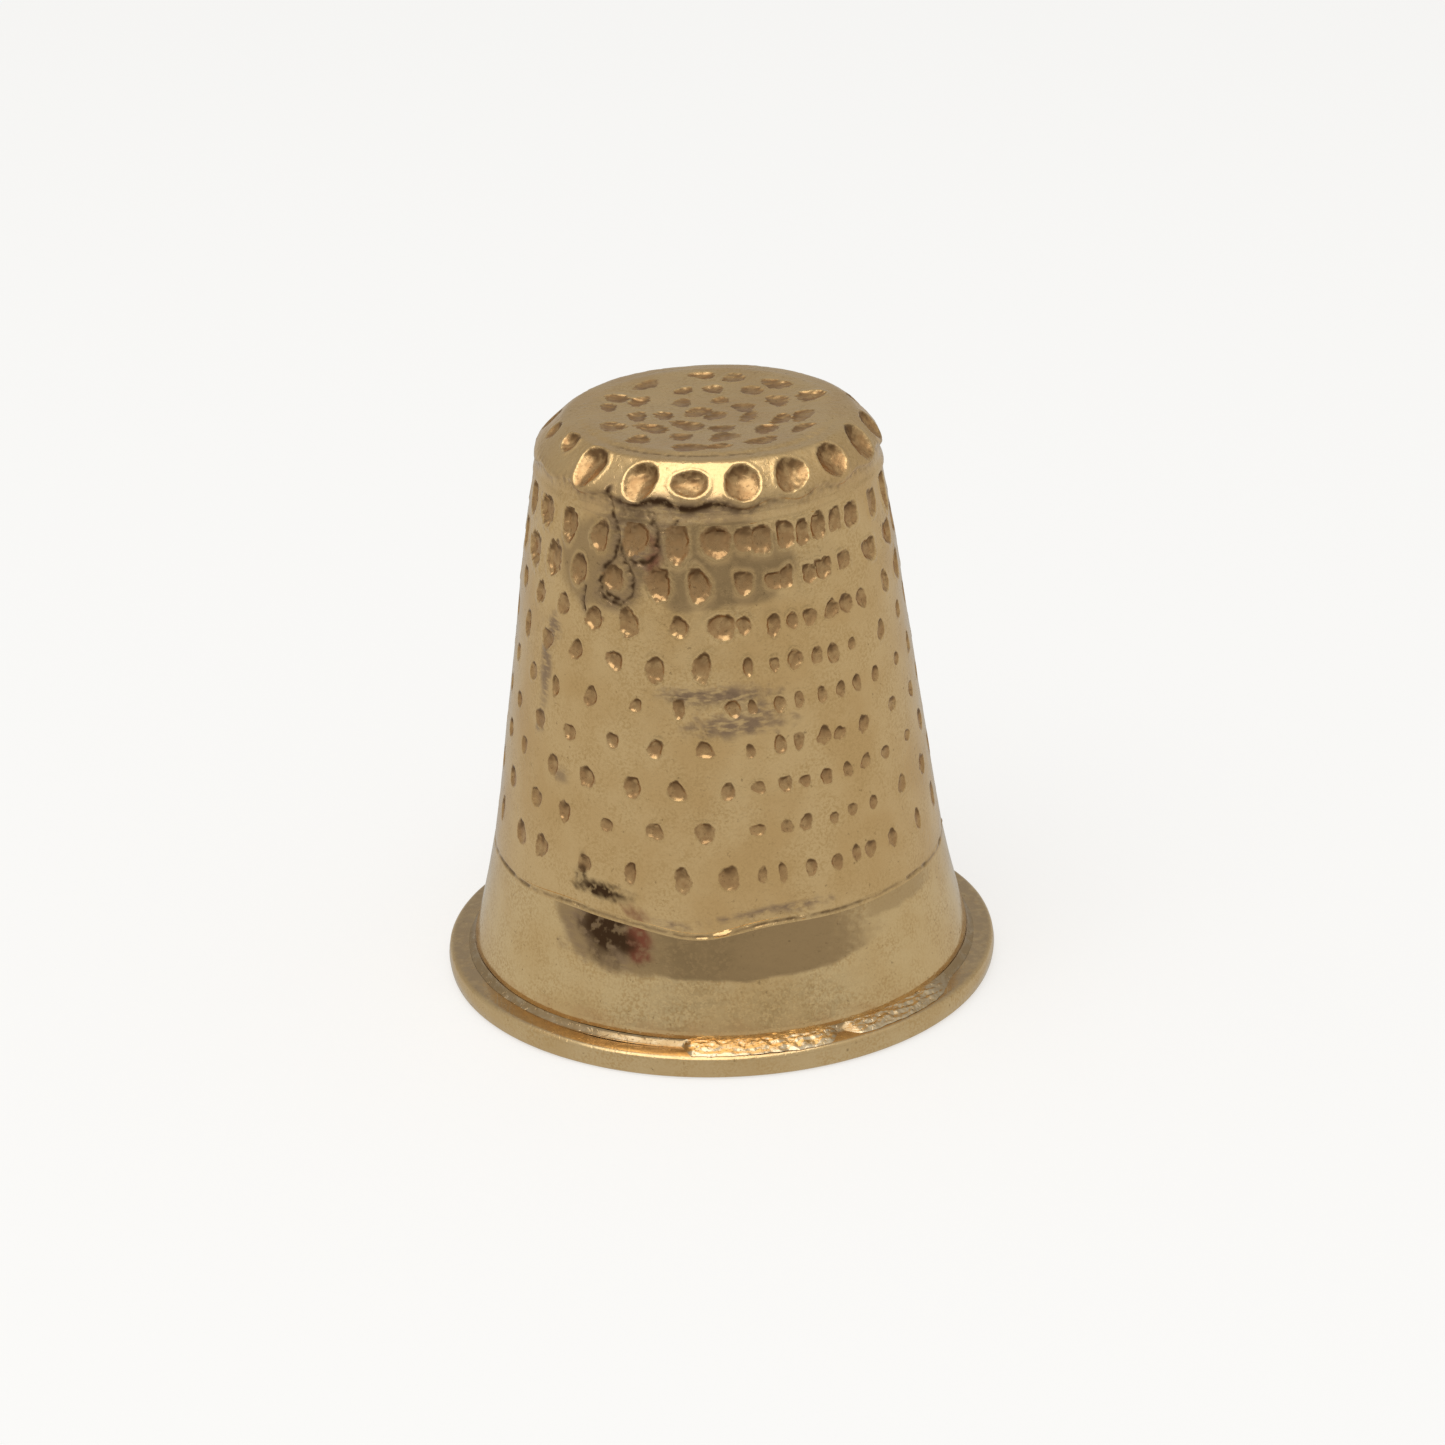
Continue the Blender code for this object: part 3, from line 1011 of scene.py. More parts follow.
@dataclass(frozen=True)
class PitRow:
    """One row of pits struck in a single pass from the right of the front round to the left.

    first and pitch are in degrees. The last pits of the pass run over the first ones, out of
    step, so pits crowd there.
    """

    first: float
    count: int
    mouth: Mouth
    crowded_size: float
    z: float
    across: float
    tall: float
    depth: float
    lip: float

    pitch: ClassVar[float] = 13.55
    lone_places: ClassVar[range] = range(3, 25)

    def pits(self, form: Form, rng: np.random.Generator) -> list[Pit]:
        """The pits of the row, with the unevenness of hand work.

        Args:
            form: the thimble's sizes.
            rng: the seeded source of unevenness.

        Returns:
            The pits in the order they are struck.
        """
        pits = []
        for place in range(self.count):
            azimuth = math.radians(self.first - self.pitch * place) + rng.normal(0.0, 0.012)
            z = self.z + rng.normal(0.0, 0.04) * MM
            crowded = place not in self.lone_places
            size = (self.crowded_size if crowded else 1.0) * rng.uniform(0.84, 1.12)
            pits.append(Pit(
                middle=ring_point(azimuth, float(form.radius(z)), z),
                normal=unit_to_axis(azimuth, form.tilt(z)),
                across=self.across * size * rng.uniform(0.84, 1.12),
                tall=self.tall * size * rng.uniform(0.86, 1.16),
                depth=self.depth * size * rng.uniform(0.8, 1.15),
                lip=self.lip * rng.uniform(0.3, 1.3),
                flat=0.56,
                dirt_and_shade=0.72,
                skew=rng.uniform(0.0, 0.25),
                mouth=self.mouth if crowded else Mouth.ROUND,
                wobble=rng.uniform(0.02, 0.12),
                phase=rng.uniform(0.0, math.tau),
                jag=rng.uniform(0.03, 0.10),
            ))
        return pits


def wall_pits(form: Form) -> list[Pit]:
    """Lays out the nine rows of pits of the side wall.

    Args:
        form: the thimble's sizes.

    Returns:
        The pits, from the top row down.
    """
    # size of crowded pits; z, across, tall, depth and lip in millimetres
    rows = (
        (0.74, 18.55, 0.48, 0.64, 0.135, 0.045),
        (0.74, 17.08, 0.45, 0.56, 0.125, 0.040),
        (0.76, 15.62, 0.38, 0.44, 0.105, 0.025),
        (0.80, 14.18, 0.31, 0.41, 0.095, 0.018),
        (0.85, 12.73, 0.27, 0.34, 0.085, 0.015),
        (0.82, 11.28, 0.30, 0.34, 0.085, 0.015),
        (0.80, 9.84, 0.32, 0.37, 0.085, 0.012),
        (0.80, 8.35, 0.32, 0.35, 0.080, 0.012),
        (0.75, 6.70, 0.31, 0.50, 0.075, 0.008),
    )
    squared_rows = 2
    rng = np.random.default_rng(20)
    pits = []
    for place, (crowded_size, *sizes) in enumerate(rows):
        first, count = (37.4, 29) if place % 2 else (44.1, 30)
        mouth = Mouth.SQUARED if place < squared_rows else Mouth.ROUND
        row = PitRow(first, count, mouth, crowded_size, *(size * MM for size in sizes))
        pits += row.pits(form, rng)
    return pits


COLLAR_PATCHES = (  # these run over the joint between cap and wall
    Patch(-25.5, 19.40, 0.85, 0.42, 0.55, Channel.GRIME_AND_SHADE, soft=0.8),
    Patch(-25.0, 19.0, 1.5, 0.70, 0.70, Channel.STAIN_AND_SHADE, soft=0.8),
    Patch(-8.0, 19.45, 2.2, 0.26, 0.50, Channel.STAIN_AND_SHADE, soft=0.8),
    # painted reflections of dark things in front, on the upper wall
    Patch(0.0, 17.75, 2.9, 1.45, 0.80, Channel.SHADE, soft=0.22),
    Patch(-37.0, 17.6, 1.9, 1.60, 0.70, Channel.SHADE, soft=0.35),
)
WALL_PATCHES = (
    *COLLAR_PATCHES,
    # a fainter painted reflection of dark things in front
    Patch(30.0, 17.9, 2.2, 1.30, 0.22, Channel.SHADE, soft=0.6),
    # the dark blotch by the seam's foot: partly tarnish, partly a painted reflection of dark things in front
    Patch(-31.5, 5.72, 1.15, 0.40, 1.0, Channel.GRIME_AND_SHADE, 0.015, soft=0.7),
    Patch(-37.5, 6.3, 0.28, 0.75, 0.8, Channel.GRIME_AND_SHADE),
    Patch(-21.0, 17.9, 0.75, 0.45, 0.9, Channel.STAIN_AND_SHADE, 0.02),
    Patch(-18.0, 17.7, 0.42, 0.9, 0.7, Channel.COPPER, 0.01),
    Patch(-56.5, 13.0, 0.34, 1.3, 0.9, Channel.STAIN_AND_SHADE),
    Patch(-54.5, 14.6, 0.50, 0.6, 0.9, Channel.STAIN_AND_SHADE),
    Patch(-57.5, 11.2, 0.34, 0.6, 0.8, Channel.STAIN_AND_SHADE),
    Patch(0.5, 13.25, 2.1, 0.36, 1.0, Channel.STAIN_AND_SHADE, 0.014),
    Patch(5.5, 12.15, 2.1, 0.42, 1.0, Channel.STAIN_AND_SHADE, 0.014),
    Patch(12.5, 12.65, 0.7, 0.40, 0.9, Channel.STAIN_AND_SHADE),
    Patch(-47.0, 9.6, 0.5, 0.3, 0.7, Channel.STAIN_AND_SHADE),
    Patch(15.0, 5.30, 2.4, 0.18, 1.0, Channel.STAIN_AND_SHADE, 0.01),
    Patch(-14.0, 5.15, 0.9, 0.12, 0.9, Channel.STAIN_AND_SHADE, 0.01),
    Patch(-22.0, 5.15, 0.5, 0.30, 0.7, Channel.COPPER),
    Patch(140.0, 12.0, 1.8, 0.6, 0.8, Channel.STAIN_AND_SHADE, 0.012),
    Patch(-130.0, 8.0, 1.3, 0.8, 0.7, Channel.STAIN_AND_SHADE, 0.012),
)
SKIRT_PATCHES = (
    # painted reflection of dark things in front: the dark band under the crease
    Patch(8.0, 4.42, 5.6, 1.22, 0.88, Channel.SHADE, soft=0.14, ends=0.62),
    Patch(50.0, 4.80, 3.2, 0.62, 0.50, Channel.SHADE, soft=0.24, ends=0.7),
    Patch(-24.0, 4.45, 2.9, 1.35, 0.80, Channel.SHADE, soft=0.34),
    # the dark, reddish blotch by the seam: partly tarnish, partly a painted reflection of dark things in
    # front
    Patch(-29.5, 4.35, 1.15, 1.00, 1.0, Channel.GRIME_AND_SHADE, 0.012, soft=0.7),
    Patch(-30.0, 4.40, 1.8, 1.15, 0.8, Channel.STAIN_AND_SHADE, soft=0.8),
    Patch(-20.8, 4.15, 0.50, 0.72, 1.0, Channel.COPPER, 0.01, soft=0.5),
    Patch(-5.0, 0.95, 11.0, 0.75, 0.5, Channel.BLUSH),
    Patch(175.0, 0.95, 16.0, 0.75, 0.5, Channel.BLUSH),
)


def wall_relief(form: Form, seam: Seam) -> Relief:
    """The marks on the side wall, shared by the wall and the solder runs that touch it."""
    return Relief(form, wall_pits(form), seam.cracks, WALL_PATCHES, swell=0.012 * MM, seed=5)


@dataclass
class SideWall(TurnedPiece):
    """The tapering tube rolled from strip, with nine rows of pits."""

    seam: Seam = field(default_factory=Seam)
    levels: int = 75

    follows_crease: ClassVar[bool] = True
    inner_levels: ClassVar[int] = 8

    def section(self) -> Outline:
        """Draws the wall's section.

        Returns:
            The outside from the top down, then the plain inside.
        """
        form = self.form
        heights = np.linspace(form.wall_top, form.crease, self.levels)
        outside = [(float(form.radius(z)), z) for z in heights]
        levels = np.linspace(form.crease, form.wall_top, self.inner_levels)
        return outside + [(float(form.radius(z)) - form.sheet, z) for z in levels]

    def relief(self) -> Relief:
        """Pits, the cracks of the seam, stains, and painted reflections of dark things in front."""
        return wall_relief(self.form, self.seam)


@dataclass
class SkirtBand(TurnedPiece):
    """The plain flared band, with the spigot that locates it in the wall."""

    follows_crease: ClassVar[bool] = True
    levels: ClassVar[int] = 64
    inner_levels: ClassVar[int] = 16

    def section(self) -> Outline:
        """Draws the skirt's section.

        Returns:
            The outside down to the foot, the inside up, then the spigot.
        """
        form = self.form
        top = form.skirt_joint
        outside = [(float(form.radius(z)), z) for z in np.linspace(top, form.foot_z, self.levels)]
        inner = np.linspace(form.foot_z, top - 0.9 * MM, self.inner_levels)
        inside = [(float(form.radius(z)) - form.sheet, z) for z in inner]
        clear = form.sheet + PLAY
        tip_z = form.crease + SPIGOT_REACH
        seat, tip = float(form.radius(form.crease)) - clear, float(form.radius(tip_z)) - clear
        spigot = [
            (seat - form.spigot, top - form.spigot),
            (tip - form.spigot, tip_z),
            (tip, tip_z),
            (seat, form.crease),
            (seat, top),
        ]
        return outside + inside + spigot

    def relief(self) -> Relief:
        """Slow dents, the dark band under the crease and the dark, reddish blotch by the seam: painted
        reflections of dark things in front, the blotch partly tarnish.
        """
        return Relief(self.form, patches=SKIRT_PATCHES, swell=0.014 * MM, seed=9)


@dataclass
class CrownRelief(Relief):
    """The cap's marks, with the ridge over the large pits, the step under them and a painted shadow under
    the step.

    step_depth and hollow_radius are in millimetres.
    """

    step_z: ClassVar[float] = 19.92 * MM
    step_depth: ClassVar[float] = 0.11
    ridge_radius: ClassVar[float] = 5.20 * MM
    hollow_radius: ClassVar[float] = 4.72
    side_radius: ClassVar[float] = 5.5 * MM

    def step_line(self, points: np.ndarray) -> np.ndarray:
        """Finds how high the step lies: lower under each large pit.

        Args:
            points: places round the cap, one row each.

        Returns:
            The step's height at each point's azimuth.
        """
        azimuth = azimuth_of(points)
        slow = 0.05 * np.sin(3.0 * azimuth + 0.6) + 0.03 * np.sin(8.0 * azimuth)
        scallop = 0.11 * np.cos(CROWN_COUNT * (azimuth - math.radians(CROWN_FIRST)))
        return self.step_z - (scallop + slow) * MM

    def near_edges(self, points: np.ndarray, low: float, high: float) -> np.ndarray:
        """The zones of the pits and of the step under them."""
        found = super().near_edges(points, low, high)
        return found | (np.abs(points[:, 2] - self.step_line(points)) < 0.28 * MM)

    def shape(self, struck: Struck) -> np.ndarray:
        """Raises the ridge, sinks the hollow inside it and cuts the step under the pits. Paints a shadow
        under the step, strongest in front, and a dark line along the hollow on the front left.

        Args:
            struck: what has been struck into the cap so far.

        Returns:
            The rise of each point.
        """
        points, rough = struck.points, struck.rough
        azimuth = np.degrees(azimuth_of(points))
        radius, z = radius_of(points), points[:, 2]
        over_step = z - self.step_line(points)
        top = smooth(20.2 * MM, 20.7 * MM, z)
        side = radius > self.side_radius
        front = 1.0 - smooth(55.0, 95.0, np.abs(azimuth + 12.0))
        ridge = bell(radius, self.ridge_radius, 0.19 * MM) * top
        hollow_at = (self.hollow_radius + 0.04 * rough) * MM
        hollow = bell(radius, hollow_at, 0.13 * MM) * top
        step = (1.0 - smooth(-0.16 * MM, 0.02 * MM, over_step)) * side
        fade = smooth(self.form.cap_edge, self.form.cap_edge + 0.4 * MM, z)
        # painted shadow under the step, strongest in front
        step_shadow_strength = 0.15 + 1.1 * bell(azimuth, -9.0, 25.0) + 0.12 * rough
        step_shadow = bell(over_step, -0.10 * MM, 0.17 * MM) * side
        wide_step_shadow = bell(over_step, -0.16 * MM, 0.30 * MM) * side
        struck.darken(Channel.GRIME_AND_SHADE, np.clip(step_shadow * step_shadow_strength, 0.0, 1.0))
        struck.darken(Channel.STAIN_AND_SHADE, np.clip(wide_step_shadow * step_shadow_strength, 0.0, 0.8))
        # a dark line painted along the hollow, on the front left only
        dark_line = bell(radius, hollow_at, 0.075 * MM) * top
        dark_line *= smooth(-50.0, -38.0, azimuth) * (1.0 - smooth(8.0, 26.0, azimuth))
        struck.darken(Channel.GRIME_AND_SHADE, 0.75 * dark_line * np.clip(0.8 + 0.5 * rough, 0.0, 1.0))
        rise = (0.03 + 0.035 * front) * ridge - (0.015 + 0.02 * front) * hollow
        return (rise - self.step_depth * step * fade) * MM


@dataclass
class CrownCap(TurnedPiece):
    """The cap: a dished, pitted disc with a ring of large pits on its shoulder."""

    mesh_step: ClassVar[float] = 0.085 * MM
    pit_share: ClassVar[float] = 0.45
    by_hand: ClassVar[dict[int, float]] = {0: 0.3, 1: -0.5, 2: -1.3, 3: -0.7, -1: 1.7, -2: -1.9, -3: -1.5}
    worn: ClassVar[dict[int, float]] = {-3: 0.66, -4: 0.60, -5: 0.7}
    raised: ClassVar[dict[int, float]] = {-2: 0.05, -3: 0.20, -4: 0.12}
    disc_rings: ClassVar[tuple[Pair, ...]] = ((14, 3.75), (11, 2.7), (7, 1.6), (2, 0.45))

    def section(self) -> Outline:
        """Draws the cap's section.

        Returns:
            The line from the disc's middle out over the shoulder, under the lip and back inside.
        """
        form = self.form
        disc = [(r, form.disc_z(r)) for r in np.linspace(0.0, form.disc_radius, 40)]
        shoulder = [form.shoulder(share) for share in np.linspace(1.0, 0.0, 400)]
        outer = form.crown_radius - form.sheet - PLAY
        inner = outer - form.spigot
        tip_z = form.wall_top - SPIGOT_REACH
        under = form.height - form.dish - form.sheet
        inside = [
            (outer, form.cap_edge),
            (outer, tip_z),
            (inner, tip_z),
            (inner, under - form.sheet),
            (inner - 0.2 * form.sheet, under - 0.3 * form.sheet),
            (inner - form.sheet, under),
            (0.5 * inner, under),
            (0.0, under),
        ]
        return disc + resampled(shoulder, self.mesh_step)[1:] + inside

    def outside(self, points: np.ndarray) -> np.ndarray:
        """Gives full weight above the disc and outside the shoulder.

        Args:
            points: the mesh's points, one row each.

        Returns:
            1 for each point on the outside and 0 for the others.
        """
        form = self.form
        radius = radius_of(points)
        under = form.height - form.dish - 0.9 * form.sheet
        on_top = (radius < form.disc_radius) & (points[:, 2] > under)
        on_side = (radius >= form.disc_radius) & (points[:, 2] > form.cap_edge - 0.01 * MM)
        outer = radius > form.crown_radius - 0.9 * form.sheet
        return (on_top | (on_side & (outer | (points[:, 2] > under)))).astype(float)

    def normals(self, mesh: bpy.types.Mesh, points: np.ndarray) -> np.ndarray:
        """The mesh's own normals, but the wall's where the cap meets it."""
        low = (np.abs(points[:, 2] - self.form.cap_edge) < 0.02 * MM)[:, None]
        return np.where(low, self.form.outward(points), read_points(mesh, "normal"))

    def warp(self, points: np.ndarray) -> np.ndarray:
        """Sets the cap a little askew and softens its corner, as wear has done.

        Args:
            points: the points to move, one row each.

        Returns:
            The same points, moved.
        """
        rise = smooth(19.9 * MM, 20.7 * MM, points[:, 2])
        points[:, :2] *= (1.0 - 0.032 * rise)[:, None]
        points[:, 0] += 0.08 * MM * rise
        return points

    def relief(self) -> Relief:
        """The shoulder's row of large pits and the small ones on the disc."""
        pits = self._crown_pits() + self._disc_pits()
        return CrownRelief(self.form, pits, Seam().cracks, COLLAR_PATCHES, swell=0.022 * MM, seed=12)

    def _crown_pits(self) -> list[Pit]:
        """Lays out the row of large pits on the shoulder, each a round bowl with a raised lip.

        Returns:
            The pits, from the back round the left, the front and the right.
        """
        rng = np.random.default_rng(31)
        pits = []
        for place in range(-(CROWN_COUNT // 2), CROWN_COUNT // 2 + 1):
            nudge = self.by_hand.get(place, rng.normal(0.0, 0.8))
            azimuth = math.radians(CROWN_FIRST + nudge) + place * math.tau / CROWN_COUNT
            share = self.pit_share + rng.normal(0.0, 0.012) + self.raised.get(place, 0.0)
            size = self.worn.get(place, 1.0)
            below, above = self.form.shoulder(share - 0.08), self.form.shoulder(share + 0.08)
            tilt = math.atan2(below[0] - above[0], above[1] - below[1])
            pits.append(Pit(
                middle=ring_point(azimuth, *self.form.shoulder(share)),
                normal=unit_to_axis(azimuth, tilt),
                across=rng.uniform(0.60, 0.66) * size * MM,
                tall=(0.44 if place == 0 else rng.uniform(0.58, 0.68)) * size * MM,
                depth=rng.uniform(0.27, 0.31) * size * MM,
                lip=rng.uniform(0.030, 0.055) * size * (0.3 if abs(place) > 3 else 1.0) * MM,
                flat=0.0,
                dirt_and_shade=0.70,
                skew=rng.uniform(-0.1, 0.2),
                wobble=rng.uniform(0.02, 0.07),
                phase=rng.uniform(0.0, math.tau),
                lip_width=0.14,
                jag=0.02,
            ))
        return pits

    def _disc_pits(self) -> list[Pit]:
        """Lays out shallow, worn pits in rings on the disc.

        Returns:
            The pits, from the outer ring in.
        """
        rng = np.random.default_rng(47)
        pits = []
        for count, ring in self.disc_rings:
            for place in range(count):
                azimuth = (place + 0.3) * math.tau / count + rng.normal(0.0, 0.08)
                radius = ring * MM + rng.normal(0.0, 0.14) * MM
                pits.append(Pit(
                    middle=ring_point(azimuth, radius, self.form.disc_z(radius)),
                    normal=unit_to_axis(azimuth, math.radians(89.0)),
                    across=rng.uniform(0.36, 0.66) * MM,
                    tall=rng.uniform(0.28, 0.52) * MM,
                    depth=rng.uniform(0.045, 0.10) * MM,
                    lip=rng.uniform(0.0, 0.02) * MM,
                    flat=0.0,
                    dirt_and_shade=0.40,
                    skew=rng.uniform(-0.4, 0.4),
                    wobble=rng.uniform(0.05, 0.14),
                    phase=rng.uniform(0.0, math.tau),
                    jag=0.09,
                ))
        return pits


@dataclass(kw_only=True)
class JointRing(TurnedPiece):
    """A thin run of solder between two edges, burnished flush with them."""

    low: float
    high: float
    marks: Relief
    levels: int = 5

    follows_crease: ClassVar[bool] = True

    def section(self) -> Outline:
        """A closed strip from the high edge down."""
        heights = np.linspace(self.high, self.low, self.levels)
        inner = float(self.form.radius(self.high)) - self.form.sheet
        return [(float(self.form.radius(z)), z) for z in heights] + [(inner, self.low), (inner, self.high)]

    def relief(self) -> Relief:
        """The marks of the surface that the joint is burnished into."""
        return self.marks


@dataclass
class CreaseRelief(Relief):
    """A broken line of solder: drawn in at places, standing proud in small beads at others."""

    bead: ClassVar[float] = 0.34 * MM

    def shape(self, struck: Struck) -> np.ndarray:
        """Raises beads and sinks hollows with soil in them.

        Args:
            struck: what has been struck into the joint so far.

        Returns:
            The rise of each point.
        """
        points = struck.points
        azimuth, z = azimuth_of(points), points[:, 2]
        along = np.stack([azimuth * 3.4 * MM, z, np.zeros(len(z))], axis=1)
        beads = ripples(along, self.bead, 61, 16)
        slow = ripples(points, 2.5 * MM, 67, 10)
        fresh = bell(np.degrees(azimuth), 20.0, 22.0) + 0.6 * smooth(0.2, 1.0, slow)
        band = bell(z, 0.5 * (self.form.crease + self.form.skirt_joint), 0.06 * MM)
        hollow = smooth(-0.4, 0.7, -beads + 0.3 * slow)
        struck.darken(Channel.GRIME_AND_SHADE, 0.55 * band * hollow)
        struck.darken(Channel.STAIN_AND_SHADE, 0.6 * band)
        return (0.075 * np.clip(beads, 0.0, 1.5) * np.clip(fresh, 0.0, 1.0) - 0.05 * hollow) * band * MM


@dataclass
class RimRelief(Relief):
    """The rim's own marks: its top is tinted orange-brown, a painted reflection of the skirt."""

    def shape(self, struck: Struck) -> np.ndarray:
        """Writes the painted reflection of the skirt on the top.

        Args:
            struck: what has been struck into the rim so far.

        Returns:
            No rise at any point.
        """
        rim_top = self.form.rim_top
        top = smooth(rim_top - 0.08 * MM, rim_top - 0.01 * MM, struck.points[:, 2])
        inner = 1.0 - smooth(9.75 * MM, 9.95 * MM, radius_of(struck.points))
        # painted reflection: the top near the skirt is tinted orange-brown, as the skirt mirrored in it
        struck.darken(Channel.BLUSH, 0.85 * top * inner)
        return super().shape(struck)


@dataclass
class RimRing(TurnedPiece):
    """The flat ring round the foot, with a crisp upper edge."""

    corner: ClassVar[float] = 0.20 * MM
    belly: ClassVar[float] = 0.03 * MM
    own_normals: ClassVar[bool] = True

    def section(self) -> Outline:
        """Draws the rim's section.

        Returns:
            Its top, outer edge, band, resting face and bore.
        """
        form = self.form
        bore = form.foot_radius + PLAY
        edge = form.rim_radius - self.belly
        middle = edge - self.corner
        upper, lower = form.rim_top - self.corner, self.corner
        arc = np.linspace(0.0, math.pi / 2.0, 9)
        top = [(r, form.rim_top) for r in np.linspace(bore, middle, 14)[:-1]]
        over = [(middle + self.corner * math.sin(a), upper + self.corner * math.cos(a)) for a in arc]
        heights = np.linspace(upper, lower, 12)[1:-1]
        rise = (heights - lower) / (upper - lower)
        band = [(edge + self.belly * math.sin(math.pi * t), z) for t, z in zip(rise, heights)]
        under = [(middle + self.corner * math.cos(a), lower - self.corner * math.sin(a)) for a in arc]
        base = [(r, 0.0) for r in np.linspace(middle, bore, 6)[1:]]
        return top + over + band + under + base

    def relief(self) -> Relief:
        """Slow unevenness of the outer edge, and the painted reflection of the skirt on the top."""
        return RimRelief(self.form, swell=0.010 * MM, seed=15)

    def outside(self, points: np.ndarray) -> np.ndarray:
        """Weight of each point: nothing moves on the resting face or in the bore."""
        from_bore = radius_of(points) - self.form.foot_radius
        return smooth(0.1 * MM, 0.3 * MM, from_bore) * smooth(0.0, 0.2 * MM, points[:, 2])


def rough_heap(azimuth: np.ndarray) -> np.ndarray:
    """Says where the rim's solder is heaped roughly.

    Args:
        azimuth: azimuths in degrees.

    Returns:
        How rough it is at each, from 0 to 1.
    """
    main = smooth(-9.5, -6.5, azimuth) * (1.0 - smooth(22.0, 26.0, azimuth))
    second = smooth(27.0, 30.0, azimuth) * (1.0 - smooth(50.0, 64.0, azimuth))
    return np.clip(main + 0.8 * second, 0.0, 1.0)


@dataclass
class FilletRelief(Relief):
    """Solder that is smooth and painted brown as shade in the corner, but for a rough heap at the front
    right.
    """

    def shape(self, struck: Struck) -> np.ndarray:
        """Writes the tint of the smooth part.

        Args:
            struck: what has been struck into the solder so far.

        Returns:
            No rise at any point.
        """
        flat = 1.0 - rough_heap(np.degrees(azimuth_of(struck.points)))
        # painted shade: the smooth solder in the corner between skirt and rim is tinted brown and darkened
        struck.darken(Channel.BLUSH, 0.8 * flat)
        struck.darken(Channel.STAIN_AND_SHADE, 0.9 * flat)
        return super().shape(struck)


@dataclass
class RimFillet(TurnedPiece):
    """The solder in the corner between rim and skirt: smooth on the left, rough in front."""

    wide: ClassVar[float] = 0.26 * MM
    tall: ClassVar[float] = 0.20 * MM
    heap_wide: ClassVar[float] = 0.84 * MM
    lift: ClassVar[float] = 0.004 * MM
    off_skirt: ClassVar[float] = 0.01 * MM
    own_normals: ClassVar[bool] = True

    def section(self) -> Outline:
        """Draws the fillet's section.

        Returns:
            A hollow curve from the skirt out to the rim's top, then the corner.
        """
        low = self.form.rim_top + self.lift
        inner = self.form.foot_radius + self.off_skirt
        face = [
            (inner + self.wide * (1.0 - math.cos(a)) ** 0.8, low + self.tall * (1.0 - math.sin(a)) ** 0.8)
            for a in np.linspace(0.0, math.pi / 2.0, 20)
        ]
        return face + [(inner, low)]

    def outside(self, points: np.ndarray) -> np.ndarray:
        """Full weight, as the whole face shows."""
        return np.ones(len(points))

    def relief(self) -> Relief:
        """Painted shade of the smooth part."""
        return FilletRelief(self.form, swell=0.004 * MM, seed=19)

    def warp(self, points: np.ndarray) -> np.ndarray:
        """Spreads and heaps the solder roughly along the front, on the right.

        Args:
            points: the points to move, one row each.

        Returns:
            The same points, moved.
        """
        azimuth = np.degrees(azimuth_of(points))
        zone = rough_heap(azimuth)
        radius = radius_of(points)
        inner = self.form.foot_radius + self.off_skirt
        out = np.clip((radius - inner) / self.wide, 0.0, 1.0)
        spread = 1.0 + (self.heap_wide / self.wide - 1.0) * zone
        spread += 0.10 * zone * ripples(points, 0.5 * MM, 37, 10) * out
        new_radius = inner + (radius - inner) * spread
        points[:, :2] *= (new_radius / radius)[:, None]
        along = np.radians(azimuth) * 9.4 * MM * 0.5
        here = np.stack([along, new_radius, np.zeros(len(points))], axis=1)
        lumps = 0.6 * ripples(here, 0.20 * MM, 23, 14) + 0.6 * ripples(here, 0.10 * MM, 29, 14)
        heap = (0.09 + 0.045 * np.clip(lumps, -1.2, 1.6)) * MM
        points[:, 2] += heap * zone * np.sin(out * math.pi) ** 0.5
        points[:, 2] = np.maximum(points[:, 2], self.form.rim_top + self.lift - 0.002 * MM)
        return points


# The studio


